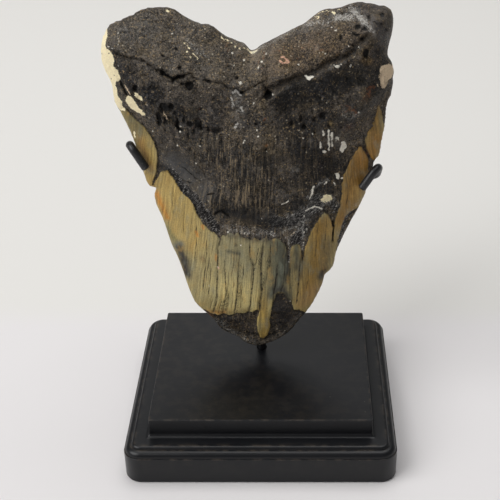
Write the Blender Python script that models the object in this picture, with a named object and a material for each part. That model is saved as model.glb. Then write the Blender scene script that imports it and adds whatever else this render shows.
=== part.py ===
"""A giant shark's fossil tooth resting in its display stand.

Metres, +X to the viewer's right, +Y away from the viewer, +Z up. The origin is the
middle of the base's underside. The tooth and the rods that hold it are laid out in the
tooth's own plane, which leans back from the tip: across it, up it, and out of its face.
"""

import math

import bmesh
import bpy
import numpy as np
from mathutils import Euler, Matrix, Vector, noise

MM = 0.001
GAP = 0.3 * MM

# Base, a moulded block
BASE_WIDTH = 101.6 * MM
BASE_DEPTH = 88.9 * MM
BASE_HEIGHT = 22.2 * MM
BASE_CORNER_RADIUS = 6.5 * MM
SHARPEST_CORNER = 0.6 * MM
CORNER_STEPS = 5
FOOT_ROUND = 0.8 * MM
WALL_TOP = 11.3 * MM
QUIRK = 0.4 * MM
BEAD_RADIUS = 2.2 * MM
SHOULDER_INSET = 2.9 * MM
SHOULDER_REACH = 1.2 * MM
LEDGE_HEIGHT = 14.6 * MM
COVE_INSET = 7.8 * MM
COVE_RADIUS = 1.5 * MM
PLATEAU_ROUND = 0.35 * MM

# Stem, one rod bent just above the base
ROD_RESOLUTION = 3
STEM_DIAMETER = 3.6 * MM
STEM_FOOT = Vector((-0.8, 10.6, 0.0)) * MM
STEM_HOLE_DEPTH = 12.0 * MM
HOLE_SIDES = 24
STEM_BEND_HEIGHT = 29.5 * MM
STEM_TOP = Vector((-0.8, 30.5, 90.0)) * MM
STEM_BEND_RADIUS = 10.0 * MM

# Arms, rods brazed beside the stem's top and hooked over the tooth's edges
ARM_DIAMETER = 3.2 * MM
ARM_BEND_RADIUS = 2.9 * MM
ARM_STUB = 7.0 * MM
BRAZE_BELOW_TOP = 3.0 * MM
CUT_END_CHAMFER = 0.45 * MM
CUT_END_RADIUS = 0.76
# Corners behind the tooth, at the elbow and at the cut end: mm across, up and out
LEFT_HOOK = [(-47.2, 78.0, -5.0), (-48.4, 84.6, 4.3), (-41.7, 73.8, 4.3)]
RIGHT_HOOK = [(44.8, 69.0, -5.0), (45.3, 75.9, 4.3), (38.6, 66.1, 4.3)]

# Tooth: its tip, its lean, and the centre that its outline is drawn around
TIP = Vector((-0.9, 5.0, 27.0)) * MM
LEAN = math.radians(12.0)
OUTLINE_CENTRE = (-3.0, 76.0)
OUTLINE_SAMPLES = 6
OUTLINE_GROWTH = 1.005
BLANK_SUBDIVISIONS = 7
ON_THE_RIM = 1e-6
SOLID_TRIANGLES = 7000

# Outline in mm across and up the tooth's plane, from the notch round to the right
ROOT_RIGHT = [
    (-2.0, 116.8), (3.0, 119.5), (9.5, 122.8), (17.5, 126.8), (23.0, 131.0), (29.0, 131.9),
    (36.0, 133.9), (42.5, 132.9), (46.2, 132.4), (48.4, 130.4), (48.9, 127.0), (48.0, 121.0),
    (47.0, 115.6), (48.6, 112.8), (49.4, 109.0), (49.0, 102.0), (47.3, 96.5),
]
BLADE_RIGHT = [
    (46.9, 90.0), (45.8, 83.0), (44.9, 78.0), (43.2, 75.6), (42.6, 72.0), (40.4, 64.0),
    (38.9, 60.0), (36.3, 55.0), (33.5, 49.3), (31.3, 44.4), (29.4, 39.4), (28.5, 34.5),
    (26.9, 32.2), (25.0, 30.2), (24.2, 26.5), (20.9, 19.4), (18.8, 16.0),
]
TIP_ROUND = [
    (14.3, 10.2), (11.8, 7.0), (8.6, 4.3), (4.5, 2.1), (-1.0, 0.4), (-4.0, 0.9), (-6.6, 2.2),
    (-8.7, 4.2), (-12.6, 6.0), (-15.7, 7.8), (-18.5, 11.8), (-22.0, 15.2),
]
BLADE_LEFT = [
    (-25.8, 19.6), (-28.3, 26.5), (-31.0, 36.0), (-33.8, 43.0), (-36.5, 52.4), (-38.9, 58.8),
    (-39.6, 62.6), (-38.9, 65.4), (-41.4, 66.3), (-43.3, 71.2), (-46.1, 83.2), (-50.0, 93.0),
]
ROOT_LEFT = [
    (-52.5, 98.2), (-53.3, 105.0), (-55.9, 111.4), (-56.6, 116.0), (-55.8, 120.5),
    (-54.0, 124.4), (-51.4, 126.6), (-44.5, 129.6), (-39.3, 131.8), (-31.0, 131.9),
    (-25.8, 128.8), (-20.8, 126.5), (-17.0, 126.0), (-11.0, 121.8), (-4.8, 119.3),
]
OUTLINE = ROOT_RIGHT + BLADE_RIGHT + TIP_ROUND + BLADE_LEFT + ROOT_LEFT

# Lines across the visible face, in mm, left to right
ENAMEL_TOP = [
    (-54.0, 99.0), (-47.0, 95.5), (-42.9, 92.5), (-39.5, 87.0), (-37.3, 81.4), (-36.6, 73.5),
    (-32.0, 71.5), (-25.6, 63.0), (-20.3, 52.0), (-14.0, 48.4), (-5.2, 51.5), (-1.5, 46.4),
    (8.0, 44.4), (15.6, 44.4), (20.1, 50.4), (25.0, 57.5), (27.6, 54.4), (31.0, 58.3),
    (32.6, 73.8), (34.8, 78.8), (38.0, 82.5), (43.9, 97.4), (50.0, 100.0),
]
ROOT_SWELL = [
    (-54.0, 103.0), (-40.0, 94.0), (-25.0, 81.0), (-3.0, 70.0), (20.0, 80.0), (38.0, 93.0),
    (50.0, 104.0),
]
CREASE = [
    (-49.0, 116.8), (-39.5, 114.7), (-33.3, 110.5), (-23.7, 109.4), (-10.2, 105.8),
    (-6.0, 103.7), (4.0, 102.6), (11.9, 106.2), (22.6, 110.8), (33.2, 116.8), (40.9, 122.8),
]
TIP_BREAK = [
    (-23.0, 17.0), (-19.0, 15.2), (-6.0, 15.6), (-1.2, 17.3), (-0.2, 2.5), (3.8, 2.5),
    (4.8, 16.0), (7.8, 23.2), (11.7, 21.1), (12.9, 17.7), (19.0, 16.5),
]
WING_CRACKS = [
    [(-37.2, 81.4), (-37.5, 73.0), (-39.3, 66.0)],
    [(38.0, 82.5), (40.5, 78.6), (43.4, 75.3)],
]
LABIAL_ENAMEL_TOP = [
    (-54.0, 101.0), (-42.0, 96.0), (-25.0, 92.0), (-3.0, 96.0), (18.0, 92.0), (38.0, 97.0),
    (50.0, 101.0),
]

# Pits in the root: across, up, radius and depth in mm
PITS = [
    (-24.0, 107.0, 2.3, 2.6), (-31.8, 98.8, 2.1, 2.2), (-43.0, 105.3, 1.5, 1.3),
    (-5.2, 104.6, 1.6, 1.6), (-7.2, 109.6, 1.6, 1.0), (-20.5, 93.0, 1.8, 1.7),
    (-33.6, 94.8, 1.9, 1.4), (-27.6, 92.4, 1.7, 1.4), (4.4, 102.4, 1.6, 2.2),
    (38.8, 117.7, 2.0, 1.6), (23.4, 95.9, 1.7, 1.3), (16.2, 94.8, 1.6, 1.2),
]

# Thickness of the tooth to the front and to the back of its plane, in mm
ROOT_FRONT = 12.6
ROOT_FRONT_LOSS = 4.6
ROOT_BACK = 10.4
ROOT_BACK_LOSS = 3.2
ROOT_HALF_WIDTH = 50.0
ROOT_EDGE_ROUND = 11.0
CREASE_SLOPE = 0.42
CROWN_HEIGHTS = (0.0, 10.0, 30.0, 60.0, 90.0)
CROWN_FRONT = (2.2, 3.6, 6.2, 8.2, 9.4)
CROWN_BACK = (1.8, 2.8, 4.4, 5.6, 6.6)
CROWN_REACH = (9.0, 17.0, 24.0, 34.0, 42.0)
CUTTING_EDGE = 0.8
CUTTING_EDGE_ROUND = 1.6
SWELL_HALF_SPAN = (12.0, 5.0)
LABIAL_SWELL_SPAN = (-10.0, 8.0)
RELIEF_FADE = (0.3, 2.5)
LEDGE_SPAN = (-0.4, 0.5)
ENAMEL_STEP = 0.9
TIP_LOSS = 1.1
CREASE_DEPTH = 1.3
CREASE_WIDTH = 1.2
CRACK_DEPTH = 0.7
CRACK_WIDTH = 0.8
LUMP_HEIGHT = 0.9
LUMP_SPACING = 13.0
GRIT_HEIGHT = 0.4
GRIT_SPACING = 4.5
ENAMEL_ROUGHNESS = 0.15
FACE_LAYER = 40.0


def material(name, colour, roughness, metallic=0.0):
    made = bpy.data.materials.new(name)
    made.use_nodes = True
    made.diffuse_color = (*colour, 1.0)
    shader = made.node_tree.nodes["Principled BSDF"]
    shader.inputs["Base Color"].default_value = (*colour, 1.0)
    shader.inputs["Roughness"].default_value = roughness
    shader.inputs["Metallic"].default_value = metallic
    return made


def add_object(name, data, collection, finish=None):
    made = bpy.data.objects.new(name, data)
    collection.objects.link(made)
    if finish is not None:
        data.materials.append(finish)
    return made


def mesh_from(bm, name):
    bmesh.ops.recalc_face_normals(bm, faces=bm.faces)
    mesh = bpy.data.meshes.new(name)
    bm.to_mesh(mesh)
    bm.free()
    return mesh


def shade_round(mesh, crease_degrees=35.0):
    mesh.shade_smooth()
    mesh.set_sharp_from_angle(angle=math.radians(crease_degrees))


# Base

def arc(centre, reach, start_degrees, end_degrees, steps):
    """Points of a quarter round; reach is its radius in inset and in height."""
    points = []
    for step in range(steps + 1):
        angle = math.radians(start_degrees + (end_degrees - start_degrees) * step / steps)
        inset = centre[0] + reach[0] * math.cos(angle)
        height = centre[1] + reach[1] * math.sin(angle)
        points.append((inset, height))
    return points


def base_profile():
    """Inset from the outer wall and height, from the underside to the plateau."""
    shoulder_rise = LEDGE_HEIGHT - WALL_TOP - BEAD_RADIUS
    plateau_inset = COVE_INSET + COVE_RADIUS + PLATEAU_ROUND
    profile = arc((FOOT_ROUND, FOOT_ROUND), (FOOT_ROUND, FOOT_ROUND), 270, 180, 3)
    profile.append((0.0, WALL_TOP))
    bead_centre = (QUIRK + BEAD_RADIUS, WALL_TOP)
    profile += arc(bead_centre, (BEAD_RADIUS, BEAD_RADIUS), 180, 90, 5)
    shoulder_centre = (SHOULDER_INSET + SHOULDER_REACH, WALL_TOP + BEAD_RADIUS)
    profile += arc(shoulder_centre, (SHOULDER_REACH, shoulder_rise), 180, 90, 4)
    cove_centre = (COVE_INSET, LEDGE_HEIGHT + COVE_RADIUS)
    profile += arc(cove_centre, (COVE_RADIUS, COVE_RADIUS), -90, 0, 5)
    round_centre = (plateau_inset, BASE_HEIGHT - PLATEAU_ROUND)
    profile += arc(round_centre, (PLATEAU_ROUND, PLATEAU_ROUND), 180, 90, 2)
    return profile


def plan_loop(bm, inset, height):
    """One level of the base: the corners of a rectangle with rounded corners."""
    half_width = BASE_WIDTH / 2 - inset
    half_depth = BASE_DEPTH / 2 - inset
    radius = max(BASE_CORNER_RADIUS - inset, SHARPEST_CORNER)
    verts = []
    for quarter, (side_x, side_y) in enumerate(((1, 1), (-1, 1), (-1, -1), (1, -1))):
        for step in range(CORNER_STEPS + 1):
            angle = math.radians(90 * (quarter + step / CORNER_STEPS))
            x = side_x * (half_width - radius) + radius * math.cos(angle)
            y = side_y * (half_depth - radius) + radius * math.sin(angle)
            verts.append(bm.verts.new((x, y, height)))
    return verts


def make_base(collection, cutters, finish):
    bm = bmesh.new()
    levels = [plan_loop(bm, inset, height) for inset, height in base_profile()]
    for lower, upper in zip(levels, levels[1:]):
        for i in range(len(lower)):
            bm.faces.new((lower[i - 1], lower[i], upper[i], upper[i - 1]))
    bm.faces.new(levels[0])
    bm.faces.new(levels[-1])
    base = add_object("base", mesh_from(bm, "base"), collection, finish)
    shade_round(base.data)

    bm = bmesh.new()
    radius = STEM_DIAMETER / 2 + GAP
    bmesh.ops.create_cone(
        bm, cap_ends=True, segments=HOLE_SIDES, radius1=radius, radius2=radius, depth=2 * STEM_HOLE_DEPTH
    )
    drill = add_object("stem_hole_cutter", mesh_from(bm, "stem_hole_cutter"), cutters)
    drill.location = (STEM_FOOT.x, STEM_FOOT.y, BASE_HEIGHT)
    drill.hide_render = True
    drill.display_type = "WIRE"
    hole = base.modifiers.new("stem hole", "BOOLEAN")
    hole.operation = "DIFFERENCE"
    hole.solver = "EXACT"
    hole.object = drill
    return base


# Rods

def bent_path(corners, bend_radius, arc_steps=8):
    """A rod's centre line: straight runs, with an arc of bend_radius at each corner."""
    path = [corners[0]]
    for before, corner, after in zip(corners, corners[1:], corners[2:]):
        arriving = (corner - before).normalized()
        leaving = (after - corner).normalized()
        turn = arriving.angle(leaving)
        start = corner - arriving * bend_radius * math.tan(turn / 2)
        middle = corner + (leaving - arriving).normalized() * bend_radius / math.cos(turn / 2)
        axis = arriving.cross(leaving)
        for step in range(arc_steps + 1):
            swing = Matrix.Rotation(turn * step / arc_steps, 3, axis)
            path.append(middle + swing @ (start - middle))
    path.append(corners[-1])
    return path


def make_rod(name, corners, diameter, bend_radius, collection, finish, chamfered=False):
    path = [(point, 1.0) for point in bent_path(corners, bend_radius)]
    if chamfered:
        end = path.pop()[0]
        direction = (end - corners[-2]).normalized()
        path.append((end - direction * CUT_END_CHAMFER, 1.0))
        path.append((end, CUT_END_RADIUS))
    curve = bpy.data.curves.new(name, "CURVE")
    curve.dimensions = "3D"
    curve.bevel_depth = diameter / 2
    curve.bevel_resolution = ROD_RESOLUTION
    curve.use_fill_caps = True
    spline = curve.splines.new("POLY")
    spline.points.add(len(path) - 1)
    for spline_point, (place, radius) in zip(spline.points, path):
        spline_point.co = (*place, 1.0)
        spline_point.radius = radius
    return add_object(name, curve, collection, finish)


def in_plane(across, up, out):
    """A point in the tooth's own frame, from mm across, up and out of its face."""
    return Vector((across, -out, up)) * MM


def arm_corners(side, behind, elbow, end):
    """An arm's corners: out from the stem's side, then up behind the tooth and over."""
    to_plane = Matrix.Translation(TIP) @ Euler((-LEAN, 0, 0)).to_matrix().to_4x4()
    brazed_at = STEM_TOP + (stem_bend() - STEM_TOP).normalized() * BRAZE_BELOW_TOP
    on_stem = to_plane.inverted() @ brazed_at
    first = on_stem + Vector((side * (STEM_DIAMETER / 2 + GAP), 0, 0))
    stub = on_stem + Vector((side * ARM_STUB, 0, 0))
    return [first, stub, in_plane(*behind), in_plane(*elbow), in_plane(*end)]


def stem_bend():
    return Vector((STEM_FOOT.x, STEM_FOOT.y, STEM_BEND_HEIGHT))


def make_stand_rods(collection, lean_frame, finish):
    foot = Vector((STEM_FOOT.x, STEM_FOOT.y, BASE_HEIGHT - STEM_HOLE_DEPTH + GAP))
    stem_path = [foot, stem_bend(), STEM_TOP]
    make_rod("stem", stem_path, STEM_DIAMETER, STEM_BEND_RADIUS, collection, finish)
    for name, side, hook in (("left_arm", -1, LEFT_HOOK), ("right_arm", 1, RIGHT_HOOK)):
        corners = arm_corners(side, *hook)
        arm = make_rod(
            name, corners, ARM_DIAMETER, ARM_BEND_RADIUS, collection, finish, chamfered=True
        )
        arm.parent = lean_frame


# Tooth

def smooth_closed(points, samples):
    """A closed curve through the points, as evenly divided Catmull-Rom pieces."""
    corners = np.array(points)
    steps = np.arange(samples)[:, None] / samples
    before, after, beyond = (np.roll(corners, shift, axis=0) for shift in (1, -1, -2))
    pieces = []
    for a, b, c, d in zip(before, corners, after, beyond):
        linear = (c - a) * steps
        square = (2 * a - 5 * b + 4 * c - d) * steps**2
        cube = (3 * b - a - 3 * c + d) * steps**3
        pieces.append(b + (linear + square + cube) / 2)
    return np.concatenate(pieces)


def distance_to_line(places, line):
    """Shortest distance from each place to a line of straight runs."""
    nearest = np.full(len(places), np.inf)
    for start, end in zip(line, line[1:]):
        run = end - start
        along = np.clip((places - start) @ run / (run @ run), 0, 1)
        nearest = np.minimum(nearest, np.hypot(*(places - start - along[:, None] * run).T))
    return nearest


def smooth_step(value, low, high):
    share = np.clip((value - low) / (high - low), 0, 1)
    return share * share * (3 - 2 * share)


def line_height(across, line):
    """How far up the tooth a line lies at each place across it."""
    return np.interp(across, *np.array(line).T)


def groove(places, line, depth, width):
    return depth * np.exp(-((distance_to_line(places, np.array(line)) / width) ** 2))


def lumps(places, side, spacing):
    """Smooth noise between -1 and 1, different on the two faces."""
    layer = FACE_LAYER * side
    return np.array([noise.noise(Vector((*place, layer))) for place in places / spacing])


def unevenness(places, side):
    broad = LUMP_HEIGHT * lumps(places, side, LUMP_SPACING)
    return broad + GRIT_HEIGHT * lumps(places, side, GRIT_SPACING)


def root_share(across, up):
    """0 on the crown and 1 on the root, with a soft swelling between them."""
    swell = line_height(across, ROOT_SWELL)
    half_span = np.interp(np.abs(across), (0, ROOT_HALF_WIDTH), SWELL_HALF_SPAN)
    return smooth_step(up - swell, -half_span, half_span)


def edge_round(edge, width):
    """A quarter ellipse that rises from the outline over the given width."""
    return np.sqrt(1 - (1 - np.clip(edge / width, 0, 1)) ** 2)


def crown_thickness(up, edge, middle):
    lens = 1 - (1 - np.clip(edge / np.interp(up, CROWN_HEIGHTS, CROWN_REACH), 0, 1)) ** 2
    blade = CUTTING_EDGE * edge_round(edge, CUTTING_EDGE_ROUND)
    return blade + np.interp(up, CROWN_HEIGHTS, middle) * lens


def front_thickness(places, edge):
    across, up = places.T
    width_share = np.abs(across / ROOT_HALF_WIDTH)
    above_crease = np.maximum(up - line_height(across, CREASE), 0)
    root = ROOT_FRONT - ROOT_FRONT_LOSS * width_share**2 - CREASE_SLOPE * above_crease
    root = root * edge_round(edge, ROOT_EDGE_ROUND)
    share = root_share(across, up)
    crown = crown_thickness(up, edge, CROWN_FRONT)
    body = crown + (root - crown) * share

    bare = smooth_step(up - line_height(across, ENAMEL_TOP), *LEDGE_SPAN)
    lost_tip = smooth_step(line_height(across, TIP_BREAK) - up, *LEDGE_SPAN)
    relief = -ENAMEL_STEP * bare * (1 - share) - TIP_LOSS * lost_tip
    relief -= groove(places, CREASE, CREASE_DEPTH, CREASE_WIDTH)
    for crack in WING_CRACKS:
        relief -= groove(places, crack, CRACK_DEPTH, CRACK_WIDTH)
    for pit_across, pit_up, radius, depth in PITS:
        away = np.hypot(across - pit_across, up - pit_up)
        relief -= depth * np.exp(-((away / radius) ** 4))
    relief += unevenness(places, -1) * np.maximum(bare, ENAMEL_ROUGHNESS)
    return body + relief * smooth_step(edge, *RELIEF_FADE)


def back_thickness(places, edge):
    across, up = places.T
    width_share = np.abs(across / ROOT_HALF_WIDTH)
    root = (ROOT_BACK - ROOT_BACK_LOSS * width_share**2) * edge_round(edge, ROOT_EDGE_ROUND)
    above_enamel = up - line_height(across, LABIAL_ENAMEL_TOP)
    share = smooth_step(above_enamel, *LABIAL_SWELL_SPAN)
    crown = crown_thickness(up, edge, CROWN_BACK)
    body = crown + (root - crown) * share

    bare = smooth_step(above_enamel, *LEDGE_SPAN)
    relief = unevenness(places, 1) * np.maximum(bare, ENAMEL_ROUGHNESS)
    relief -= ENAMEL_STEP * bare * (1 - share)
    return body + relief * smooth_step(edge, *RELIEF_FADE)


def outline_reach(bearing):
    """Distance from the outline's centre to the outline in each direction."""
    spokes = tooth_outline() - OUTLINE_CENTRE
    spoke_bearing = np.arctan2(spokes[:, 1], spokes[:, 0])
    order = np.argsort(spoke_bearing)
    lengths = np.hypot(*spokes.T)
    return np.interp(bearing, spoke_bearing[order], lengths[order], period=math.tau)


def tooth_outline():
    outline = smooth_closed(OUTLINE, OUTLINE_SAMPLES)
    return OUTLINE_CENTRE + (outline - OUTLINE_CENTRE) * OUTLINE_GROWTH


def make_tooth(collection, lean_frame, finish):
    """A ball is spread over the outline, and each half takes one face's thickness."""
    bm = bmesh.new()
    bmesh.ops.create_icosphere(bm, subdivisions=BLANK_SUBDIVISIONS, radius=1.0)
    ball = np.array([vert.co for vert in bm.verts])
    bearing = np.arctan2(ball[:, 2], ball[:, 0])
    reach = np.clip(np.hypot(ball[:, 0], ball[:, 2]), 0, 1)
    even_reach = (reach + np.arcsin(reach) / (math.pi / 2)) / 2
    length = even_reach * outline_reach(bearing)
    places = OUTLINE_CENTRE + length[:, None] * np.column_stack([np.cos(bearing), np.sin(bearing)])

    outline = tooth_outline()
    edge = distance_to_line(places, np.vstack([outline, outline[:1]]))
    in_front = ball[:, 1] < 0
    depth = np.where(in_front, -front_thickness(places, edge), back_thickness(places, edge))
    depth[np.abs(ball[:, 1]) < ON_THE_RIM] = 0
    for vert, (across, up), behind in zip(bm.verts, places, depth):
        vert.co = Vector((across, behind, up)) * MM

    tooth = add_object("tooth", mesh_from(bm, "tooth"), collection, finish)
    tooth.parent = lean_frame
    tooth.data.shade_smooth()
    thin_out = tooth.modifiers.new("fewer faces", "DECIMATE")
    thin_out.ratio = SOLID_TRIANGLES / len(tooth.data.polygons)
    return tooth


def main():
    for old in list(bpy.data.objects):
        bpy.data.objects.remove(old, do_unlink=True)
    parts = bpy.data.collections.new("fossil tooth on stand")
    cutters = bpy.data.collections.new("cutters")
    bpy.context.scene.collection.children.link(parts)
    bpy.context.scene.collection.children.link(cutters)

    black_lacquer = material("black lacquer", (0.012, 0.012, 0.014), 0.35)
    black_enamel_paint = material("black painted steel", (0.012, 0.012, 0.015), 0.3, 0.2)
    fossil = material("dark fossil", (0.10, 0.08, 0.055), 0.55)

    lean_frame = bpy.data.objects.new("lean_frame", None)
    cutters.objects.link(lean_frame)
    lean_frame.location = TIP
    lean_frame.rotation_euler = (-LEAN, 0.0, 0.0)
    lean_frame.hide_render = True

    make_base(parts, cutters, black_lacquer)
    make_stand_rods(parts, lean_frame, black_enamel_paint)
    make_tooth(parts, lean_frame, fossil)


main()
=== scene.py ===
"""The looks of a giant shark's fossil tooth on its moulded display stand.

Metres, +X to the viewer's right, +Y away from the viewer, +Z up. The tooth is laid out in
its own leaning plane, in mm across it and up it from the tip; its front is the inner face
that the viewer sees.
"""

import logging
import math
from dataclasses import dataclass, field
from enum import Enum
from typing import Iterable, NamedTuple, Optional, Sequence, Union

import bmesh
import bpy
import numpy as np
from bmesh.types import BMEdge, BMesh, BMFace, BMVert
from bpy.types import Material, Mesh, Object
from mathutils import Euler, Matrix, Vector, noise


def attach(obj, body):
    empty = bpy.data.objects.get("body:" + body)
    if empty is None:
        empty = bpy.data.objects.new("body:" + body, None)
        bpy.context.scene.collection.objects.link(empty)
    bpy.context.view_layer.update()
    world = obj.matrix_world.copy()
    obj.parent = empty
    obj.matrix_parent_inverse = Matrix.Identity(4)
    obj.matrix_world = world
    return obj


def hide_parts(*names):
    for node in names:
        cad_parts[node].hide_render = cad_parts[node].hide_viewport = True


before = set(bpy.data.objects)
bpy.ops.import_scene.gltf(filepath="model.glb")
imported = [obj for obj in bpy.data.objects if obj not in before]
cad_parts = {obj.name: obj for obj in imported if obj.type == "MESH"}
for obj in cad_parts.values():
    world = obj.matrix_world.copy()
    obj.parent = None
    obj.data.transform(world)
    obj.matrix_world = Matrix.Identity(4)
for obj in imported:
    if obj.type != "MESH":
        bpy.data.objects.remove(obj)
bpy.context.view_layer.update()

MM = 0.001
ROOT_BODY = "root"

Colour = tuple[float, float, float]
Triple = tuple[float, float, float]
Place = tuple[float, float]
Line = tuple[Place, ...]
Socket = bpy.types.NodeSocket
Value = Union[float, Socket]
Edges = list[BMEdge]
Looks = dict[str, np.ndarray]

log = logging.getLogger("fossil tooth")


def srgb(red: int, green: int, blue: int) -> Colour:
    """Turn a screen colour, with levels from 0 to 255, into a linear one."""
    shares = (level / 255 for level in (red, green, blue))
    return tuple(s / 12.92 if s <= 0.04045 else ((s + 0.055) / 1.055) ** 2.4 for s in shares)


def pairs(*numbers: float) -> Line:
    """Pair numbers up into places: across and up, across and up, and so on."""
    return tuple(zip(numbers[::2], numbers[1::2]))


def lines_of(*rows: Sequence[float]) -> tuple[Line, ...]:
    """Make a line of each row of numbers."""
    return tuple(pairs(*row) for row in rows)


def smooth_step(value: np.ndarray, low: float, high: float) -> np.ndarray:
    """Rise smoothly from 0 at low to 1 at high."""
    share = np.clip((value - low) / (high - low), 0, 1)
    return share * share * (3 - 2 * share)


def bell(distance: np.ndarray, width: float) -> np.ndarray:
    """Give 1 at no distance, fading softly to 0 a few widths away."""
    return np.exp(-((distance / width) ** 2))


def distance_to_line(places: np.ndarray, line: Sequence[Place]) -> np.ndarray:
    """Measure how far places are from a line of straight runs.

    Args:
        places: One row of across and up for each place.
        line: The line's corners, or one point.

    Returns:
        The shortest distance from each place.
    """
    corners = np.array(line, float)
    nearest = np.hypot(*(places - corners[0]).T)
    for start, end in zip(corners, corners[1:]):
        run = end - start
        along = np.clip((places - start) @ run / (run @ run), 0, 1)
        nearest = np.minimum(nearest, np.hypot(*(places - start - along[:, None] * run).T))
    return nearest


def inside(places: np.ndarray, ring: Sequence[Place]) -> np.ndarray:
    """Say which places lie inside a closed ring.

    Args:
        places: One row of across and up for each place.
        ring: The ring's corners.

    Returns:
        True for each place inside.
    """
    corners = np.array(ring, float)
    across, up = places.T
    odd = np.zeros(len(places), bool)
    for (x0, y0), (x1, y1) in zip(corners, np.roll(corners, -1, axis=0)):
        if y0 != y1:
            crosses = (y0 > up) != (y1 > up)
            odd ^= crosses & (across < (x1 - x0) * (up - y0) / (y1 - y0) + x0)
    return odd


def line_height(across: np.ndarray, line: Sequence[Place]) -> np.ndarray:
    """Give how far up the tooth a line lies at each place across it."""
    return np.interp(across, *np.array(line).T)


def link_piece(name: str, mesh: Mesh, finish: Optional[Material]) -> Object:
    """Make a shown object of a mesh whose places are already the final ones.

    Args:
        name: The piece's name.
        mesh: Its mesh.
        finish: Its material, if it has one.

    Returns:
        The object, linked to the scene.
    """
    if finish:
        mesh.materials.append(finish)
    piece = bpy.data.objects.new(name, mesh)
    bpy.context.scene.collection.objects.link(piece)
    return piece


def turned_to(direction: Vector) -> Matrix:
    """Turn the Z axis into a direction."""
    return direction.to_track_quat("Z", "Y").to_matrix().to_4x4()


def mesh_of(bm: BMesh, name: str) -> Mesh:
    """Turn a bmesh with its faces outwards into a mesh, and free it.

    Args:
        bm: The finished bmesh.
        name: The mesh's name.

    Returns:
        The mesh.
    """
    bmesh.ops.recalc_face_normals(bm, faces=bm.faces)
    mesh = bpy.data.meshes.new(name)
    bm.to_mesh(mesh)
    bm.free()
    return mesh


def store(mesh: Mesh, name: str, numbers: np.ndarray) -> None:
    """Write one value, vector or colour for every point of a mesh.

    Args:
        mesh: The mesh.
        name: The attribute's name; one that ends in paint holds colours.
        numbers: One value or one row for each point.
    """
    kind, key = ("FLOAT", "value") if numbers.ndim == 1 else ("FLOAT_VECTOR", "vector")
    if name.endswith("paint"):
        kind, key = "FLOAT_COLOR", "color"
        numbers = np.column_stack([numbers, np.ones(len(numbers))])
    attribute = mesh.attributes.new(name, kind, "POINT")
    attribute.data.foreach_set(key, numbers.astype(np.float32).ravel())


def hand_over(piece: Object, slot: str, *nodes: str) -> None:
    """Let a piece ride on the stand and stand for its nodes, which are hidden.

    Args:
        piece: The finished piece.
        slot: The record's material slot; not used.
        nodes: The solids that it stands for, if any.
    """
    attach(piece, ROOT_BODY)
    if nodes:
        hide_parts(*nodes)
    log.info("%s: %d faces", piece.name, len(piece.data.polygons))


@dataclass(frozen=True)
class Grain:
    """Soft noise: the size of its largest lumps in mm, its finer layers and how strong they are."""

    spacing: float
    detail: float = 2.0
    rough: float = 0.5
    stretch: Optional[Triple] = None


@dataclass(frozen=True)
class Patches:
    """Ragged patches, where a grain rises from its low to its high level, and how strongly they show."""

    grain: Grain
    low: float
    high: float
    strength: float = 1.0


@dataclass(frozen=True)
class Specks:
    """Round specks: the spacing of the places where one may be, the share taken, and their radius."""

    spacing: float
    share: float
    size: float
    strength: float = 1.0
    sharpness: float = 0.6


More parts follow.
